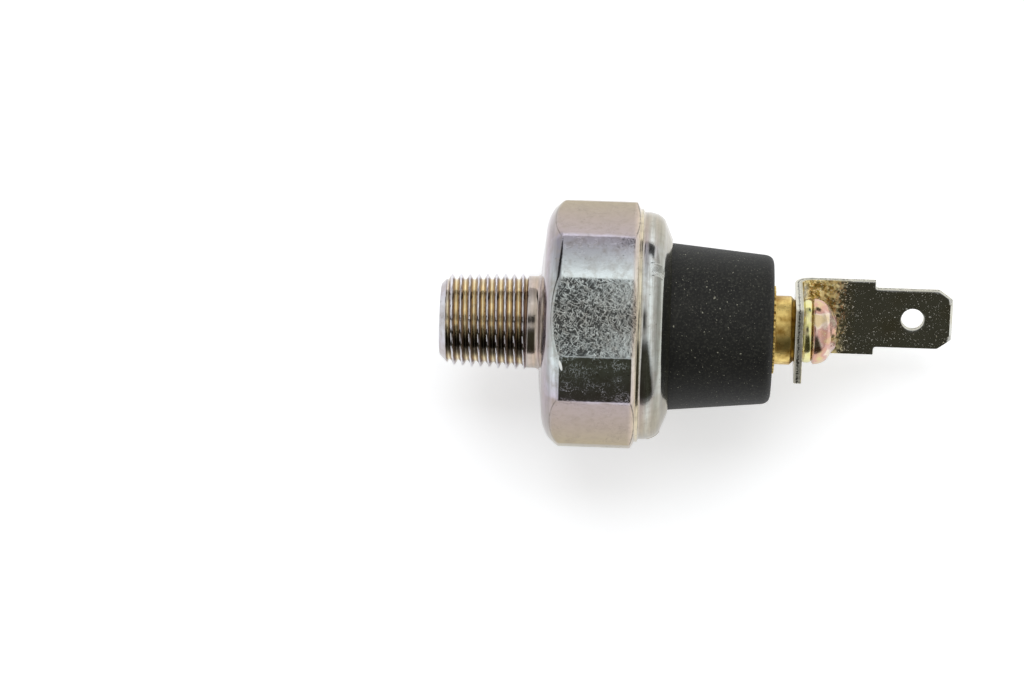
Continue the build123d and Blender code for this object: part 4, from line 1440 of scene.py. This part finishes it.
@dataclass
class TerminalScrew:
    """The pan head screw with its cross recess, and a plain shank where the thread is hidden."""

    head: float = 34.04
    head_radius: float = 3.4
    head_height: float = 2.6
    crown: float = 1.0
    head_round: float = 1.5
    foot_round: float = 0.26
    rim: float = 2.66
    span: float = 4.4
    arm: float = 0.95
    depth: float = 1.7
    taper: float = 9.0
    clock: float = 59.0
    shank: float = 1.75
    length: float = 6.0
    sides: int = 120

    def crown_outline(self) -> Array:
        """The head's outline: an arc of the crown, eased far down into the side, and a rounded foot.

        Returns:
            Rows of (x, r), from the middle outwards and down.
        """
        top = self.head + self.head_height
        sphere = (self.head_radius**2 + self.crown**2) / (2 * self.crown)
        r = np.linspace(0, self.head_radius, 60)
        dome = np.stack([top - (sphere - np.sqrt(sphere**2 - r**2)), r], 1)
        below = [self.head - 2 * self.head_round, self.head_radius]
        bend = softened(np.array([dome[0], dome[-1], below]), [0, self.head_round, 0], 28)[1:-1]
        small = self.foot_round
        foot = arc(self.head + small, self.head_radius - small, small, 90, 180, 5)
        dome = dome[r < bend[0, 1]]
        return np.concatenate([dome, bend[bend[:, 0] > foot[0, 0] + 0.02], foot])

    def cross(self, into: float) -> Array:
        """The recess's outline, a distance inside its mouth: each side of an arm moves in by it."""
        a, b = self.span / 2 - into, self.arm / 2 - into
        quarter = np.array([[a, -b], [a, b], [b, b]])
        turns = [np.array([[c, s], [-s, c]]) for c, s in ((1, 0), (0, 1), (-1, 0), (0, -1))]
        return softened(np.concatenate([quarter @ turn for turn in turns]), [0.12, 0.12, 0.16] * 4, 3)

    def top(self, outline: Array, ring: Array) -> tuple[Array, Array]:
        """The head's top with its recess.

        The height is the crown's, less d / tan(9) at the distance d inside the recess's mouth, down to the
        floor, with both rims eased.

        Args:
            outline: the head's outline.
            ring: the unit circle that the top ends in.

        Returns:
            The top's points, the outer ring first, and its triangles.
        """
        slant = np.tan(np.radians(self.taper))
        steps = [-0.12, -0.06, -0.02, 0.02, 0.09, 0.17, self.depth * slant, self.depth * slant + 0.05]
        rings = np.concatenate([ring[::3] * r for r in (0.9, 1.3, 1.7, 2.0, 2.3)])
        mouth = self.cross(0)
        clear = ~within(rings, mouth) & (edge_distance(rings, mouth) > 0.2)
        loops = [ring * self.rim, ring * 2.5, *map(self.cross, steps)]
        flat, triangles = filled(loops, rings[clear], 0)
        distance = edge_distance(flat, mouth) * np.where(within(flat, mouth), 1, -1)
        radius = np.linalg.norm(flat, axis=1)
        falling = outline[outline[:, 1] < self.rim + 0.3]
        crown = np.interp(radius, falling[:, 1], falling[:, 0])
        fall = np.interp(distance, [-0.12, -0.06, 0.0, 0.04], [0, 0.015, 0.06, 0.18])
        x = crown - np.maximum(fall, np.clip(distance / slant, 0, self.depth))
        floor = self.head + self.head_height - self.depth - 0.03 + 0.03 * np.cos(4 * radius)
        x = np.where(distance > 0.02, np.maximum(x, floor), x)
        return np.column_stack([x, flat]), triangles[:, ::-1]

    def build(self) -> Piece:
        """Builds the screw as one closed skin: the top, then rings over the edge, underside and shank.

        Returns:
            The finished object.
        """
        count, circles, outline = self.sides, circle(self.sides), self.crown_outline()
        top, triangles = self.top(outline, circles)
        outer = outline[(outline[:, 1] > self.rim + 0.02) | (outline[:, 0] < self.head + self.foot_round)]
        tip = self.head - self.length
        under = np.array([outer[-1], [self.head, self.shank], [tip, self.shank], [tip, 0.3]])
        rows = np.concatenate([outer, softened(under, [0, 0.15, 0.25, 0])[1:-1]])
        side = np.concatenate([widened(rows[:, :1], count), rows[:, 1:, None] * circles], -1)
        points = np.concatenate([top, side.reshape(-1, 3), [[tip, 0, 0]]])
        base, ring = len(top), np.arange(count)
        ahead = np.roll(ring, -1)
        join = np.stack([ring, ahead, ahead + base, ring + base], 1)
        quads = np.concatenate([net(len(rows), count, False) + base, join])
        end = fan(ring + base + (len(rows) - 1) * count, len(points) - 1)
        c, s = np.cos(-np.radians(self.clock)), np.sin(-np.radians(self.clock))
        points[:, 1:] = points[:, 1:] @ np.array([[c, s], [-s, c]])
        shell = Shell(points, quads, np.concatenate([triangles, end]))
        return shell.make("cross_recess_screw", SCREW_ZINC, "terminal_screw", crease=38)


@dataclass
class ContactSpring:
    """The coil spring behind the moving contact, with its end coils closed and ground."""

    start: float = 13.8
    end: float = 20.91
    mean_radius: float = 2.05
    wire: float = 0.25
    turns: float = 6.5
    travel: float = 0.5
    closing: float = 0.13
    steps: int = 400
    wire_sides: int = 14

    def build(self) -> Piece:
        """Builds the wire round its path.

        The path is (x(t), R cos 2 pi n t, R sin 2 pi n t), where x rises slowly over the first and last turn.
        The wire's section turns with the path's own tangent, and its end faces are closed to a point.

        Returns:
            The finished object.
        """
        t = np.linspace(0, 1, self.steps)
        pace = smooth_step(t, 0, self.closing) * (1 - smooth_step(t, 1 - self.closing, 1)) + 0.34
        reach = np.concatenate([[0], np.cumsum((pace[1:] + pace[:-1]) / 2)])
        x = self.start + self.wire + (self.end - self.start - 2 * self.wire) * reach / reach[-1]
        a = 2 * np.pi * self.turns * t
        outward = np.stack([0 * a, np.cos(a), np.sin(a)], 1)
        path = outward * self.mean_radius + x[:, None] * [1, 0, 0]
        tangent = np.gradient(path, axis=0)
        tangent /= np.linalg.norm(tangent, axis=1, keepdims=True)
        across = np.cross(tangent, outward)
        one, two = circle(self.wire_sides).T[..., None]
        tube = path[:, None] + self.wire * (outward[:, None] * one + across[:, None] * two)
        tube[..., 0] = np.clip(tube[..., 0], self.start, self.end)
        rows, columns = tube.shape[:2]
        count, first = rows * columns, np.arange(columns)
        caps = fan(first, count)[:, ::-1], fan(first + count - columns, count + 1)
        points = np.concatenate([tube.reshape(-1, 3), path[[0, -1]]])
        steel = InnerStock("Spring steel wire", "#8f9092", "#6c6d70", Sheen.METAL, 0.2, 0.006)
        shell = Shell(points, net(rows, columns, False), np.concatenate(caps))
        spring = shell.make("contact_spring_coil", steel, "contact_spring")
        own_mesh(spring)
        return spring


@dataclass
class InnerPieces:
    """The pieces sealed inside, which keep the model's own shape and get their finish."""

    def dress(self) -> None:
        """Gives each inner node the stock that it is made from."""
        metal, satin, gloss, rubber = Sheen.METAL, Sheen.SATIN, Sheen.GLOSS, Sheen.RUBBER
        stock = {
            "diaphragm_seal": ("Nitrile rubber, seal", "#1d1d1c", "#2a2a28", rubber, 0.15, 0.01),
            "diaphragm": ("Polyimide film", "#c98a2c", "#a8661a", gloss, 0.6, 0.004),
            "contact_plate": ("Pressed steel, tin plated", "#b9bab8", "#96989a", metal, 0.25, 0.01),
            "packing_ring": ("Vulcanised fibre", "#8a5c3a", "#6b4429", satin, 0.2, 0.02),
            "pressure_plate": ("Blanked steel", "#a9abad", "#84868a", metal, 0.3, 0.012),
            "push_pin": ("Moulded nylon", "#d9d3bf", "#c3bca4", satin, 0.3, 0.01),
            "moving_contact": ("Blanked brass, silver washed", "#cfc08c", "#a3935e", metal, 0.25, 0.01),
            "spring_seat": ("Turned brass, seat", "#c8a85c", "#94742f", metal, 0.2, 0.01),
            "setting_screw": ("Turned brass, setting screw", "#c2a055", "#8c6c2c", metal, 0.2, 0.012),
            "locking_drop": ("Locking lacquer", "#8c1f1a", "#6b1512", gloss, 0.5, 0.02),
            "cap_seal": ("Nitrile rubber, cap seal", "#1b1b1b", "#292826", rubber, 0.15, 0.01),
        }
        for name, values in stock.items():
            finish = InnerStock(*values)
            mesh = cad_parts[name].data
            mesh.materials.clear()
            mesh.materials.append(finish.material())
            LOG.info("dressed %s: %s", name, finish.name)


@dataclass
class Studio:
    """The table, the light tent round it and the camera, at the photograph's place."""

    floor_height: float = -12.0
    floor_size: float = 3000.0
    lens: float = 163.69
    camera_place: tuple[float, float, float] = (18.08, -24.71, 476.51)
    camera_turn: tuple[float, float, float] = (2.776, 1.671, 1.995)
    # the tent's brightness by degrees round X, from overhead (0) towards +Y (90) and -Y (-90)
    panels: tuple = (
        (-180, 0.6), (-100, 0.6), (-90, 0.3), (-82, "#3e3d33"), (-30, "#3e3d33"), (-22, 0.14), (-14, 0.6),
        (-8, 0.45), (-3, 0.07), (8, 0.07), (16, 0.7), (26, 1.0), (44, 1.0), (52, 0.78), (66, 0.64),
        (82, 0.54), (100, 0.6), (180, 0.6),
    )

    def floor(self) -> None:
        """A white sheet: lit like paper, and topped up to plain white for the camera and for reflections."""
        half = self.floor_size / 2
        x, y = np.meshgrid(*[np.linspace(-half, half, 9)] * 2, indexing="ij")
        points = np.stack([x, y, np.full_like(x, self.floor_height)], -1).reshape(-1, 3) * MM
        mesh = bpy.data.meshes.new("floor")
        mesh.from_pydata(points.tolist(), [], net(9, 9, False, False).tolist())
        floor = bpy.data.objects.new("floor", mesh)
        bpy.context.scene.collection.objects.link(floor)
        sheet = Sheet("White paper sheet")
        paper = sheet.add("BsdfDiffuse", {"Color": "#dcdcdc"})
        rays = [sheet.add("LightPath", {}, f"Is {kind} Ray") for kind in ("Camera", "Glossy", "Transmission")]
        lift = sheet.plus(sheet.sums(*rays), 0.42, sheet.product(rays[0], 0.06))
        glow = sheet.add("Emission", {"Color": (1, 1, 1, 1), "Strength": lift})
        mesh.materials.append(sheet.finish(sheet.add("AddShader", {0: paper, 1: glow})))

    def tent(self) -> None:
        """The light tent: bright panels over the photograph's top, a dark opening overhead, dark cloth below.

        Towards the two ends of the part the panels close in and are bright. Two dark things stand low in the
        gaps between the panels: one at the left, below 0.05 + 0.4 y, and a narrower one right of the top.
        """
        world = bpy.data.worlds.new("light tent")
        bpy.context.scene.world = world
        sheet = Sheet("light tent", world)
        across, high, along = sheet.axes(sheet.add("TexCoord", {}, "Generated"))
        place = sheet.slope(sheet.math("ARCTAN2", across, high), -np.pi, np.pi)
        level = sheet.stops(place, [((degrees + 180) / 360, tone) for degrees, tone in self.panels])
        leaning = sheet.plus(sheet.math("MINIMUM", across, 0.0), 0.6, along)
        wall = sheet.blend(sheet.slope(along, 0.5, 0.75), (0.98, 0.98, 0.98, 1), (0.72, 0.72, 0.72, 1))
        above = sheet.math("SUBTRACT", high, sheet.plus(across, 0.4, 0.05))
        stand = sheet.product(
            sheet.slope(above, 0.03, -0.03), sheet.slope(along, -0.3, -0.45), sheet.slope(across, -0.2, 0.05)
        )
        post = sheet.product(
            sheet.slope(high, 0.3, 0.22), sheet.slope(along, 0.06, 0.12), sheet.slope(along, 0.46, 0.38),
            sheet.slope(across, 0.6, 0.75),
        )
        shown = sheet.over(
            level,
            (sheet.slope(leaning, 0.02, 0.25), wall),
            (sheet.slope(along, -0.2, -0.5), (0.8, 0.8, 0.8, 1)),
            (sheet.sums(stand, post), (0.05, 0.05, 0.05, 1)),
            (sheet.add("LightPath", {}, "Is Camera Ray"), (1, 1, 1, 1)),
        )
        sheet.add("OutputWorld", {"Surface": sheet.add("Background", {"Color": shown, "Strength": 1.0})})

    def lamps(self) -> None:
        """One large soft lamp over the photograph's top, which gives the shadow its side."""
        light = bpy.data.lights.new("soft panel", "AREA")
        light.shape = "RECTANGLE"
        light.size, light.size_y = 0.5, 0.35
        light.energy = 1.5
        light.color = linear_rgb("#f4f9ff")[:3]
        lamp = bpy.data.objects.new("soft panel", light)
        lamp.location = (0.02, 0.28, 0.42)
        lamp.rotation_euler = (-0.588, 0, 0)
        lamp.visible_glossy = False
        bpy.context.scene.collection.objects.link(lamp)

    def camera(self) -> None:
        """The camera above the part, half a metre up, turned as the photograph shows it."""
        made = bpy.data.cameras.new("camera")
        made.lens = self.lens
        made.sensor_width = 36.0
        made.clip_start, made.clip_end = 0.01, 20.0
        seat = bpy.data.objects.new("camera", made)
        seat.location = [value * MM for value in self.camera_place]
        seat.rotation_euler = np.radians(self.camera_turn).tolist()
        bpy.context.scene.collection.objects.link(seat)
        bpy.context.scene.camera = seat

    def build(self) -> None:
        """Sets up the table, the tent, the lamp and the camera."""
        for step in (self.floor, self.tent, self.lamps, self.camera):
            step()
        bpy.context.scene.view_settings.view_transform = "Standard"


def main() -> None:
    """Builds the sender piece by piece, then the studio, and logs each piece's points and faces."""
    logging.basicConfig(level=logging.INFO, format="%(name)s: %(message)s")
    outer = (HexBody, ThreadedStem, MouldedCap, BrassInsert, PushOnBlade, SpringWasher, TerminalScrew)
    for kind in (*outer, ContactSpring):
        piece = kind().build()
        LOG.info("%s: %d points, %d faces", piece.name, len(piece.data.vertices), len(piece.data.polygons))
    InnerPieces().dress()
    Studio().build()


if __name__ == "__main__":
    main()
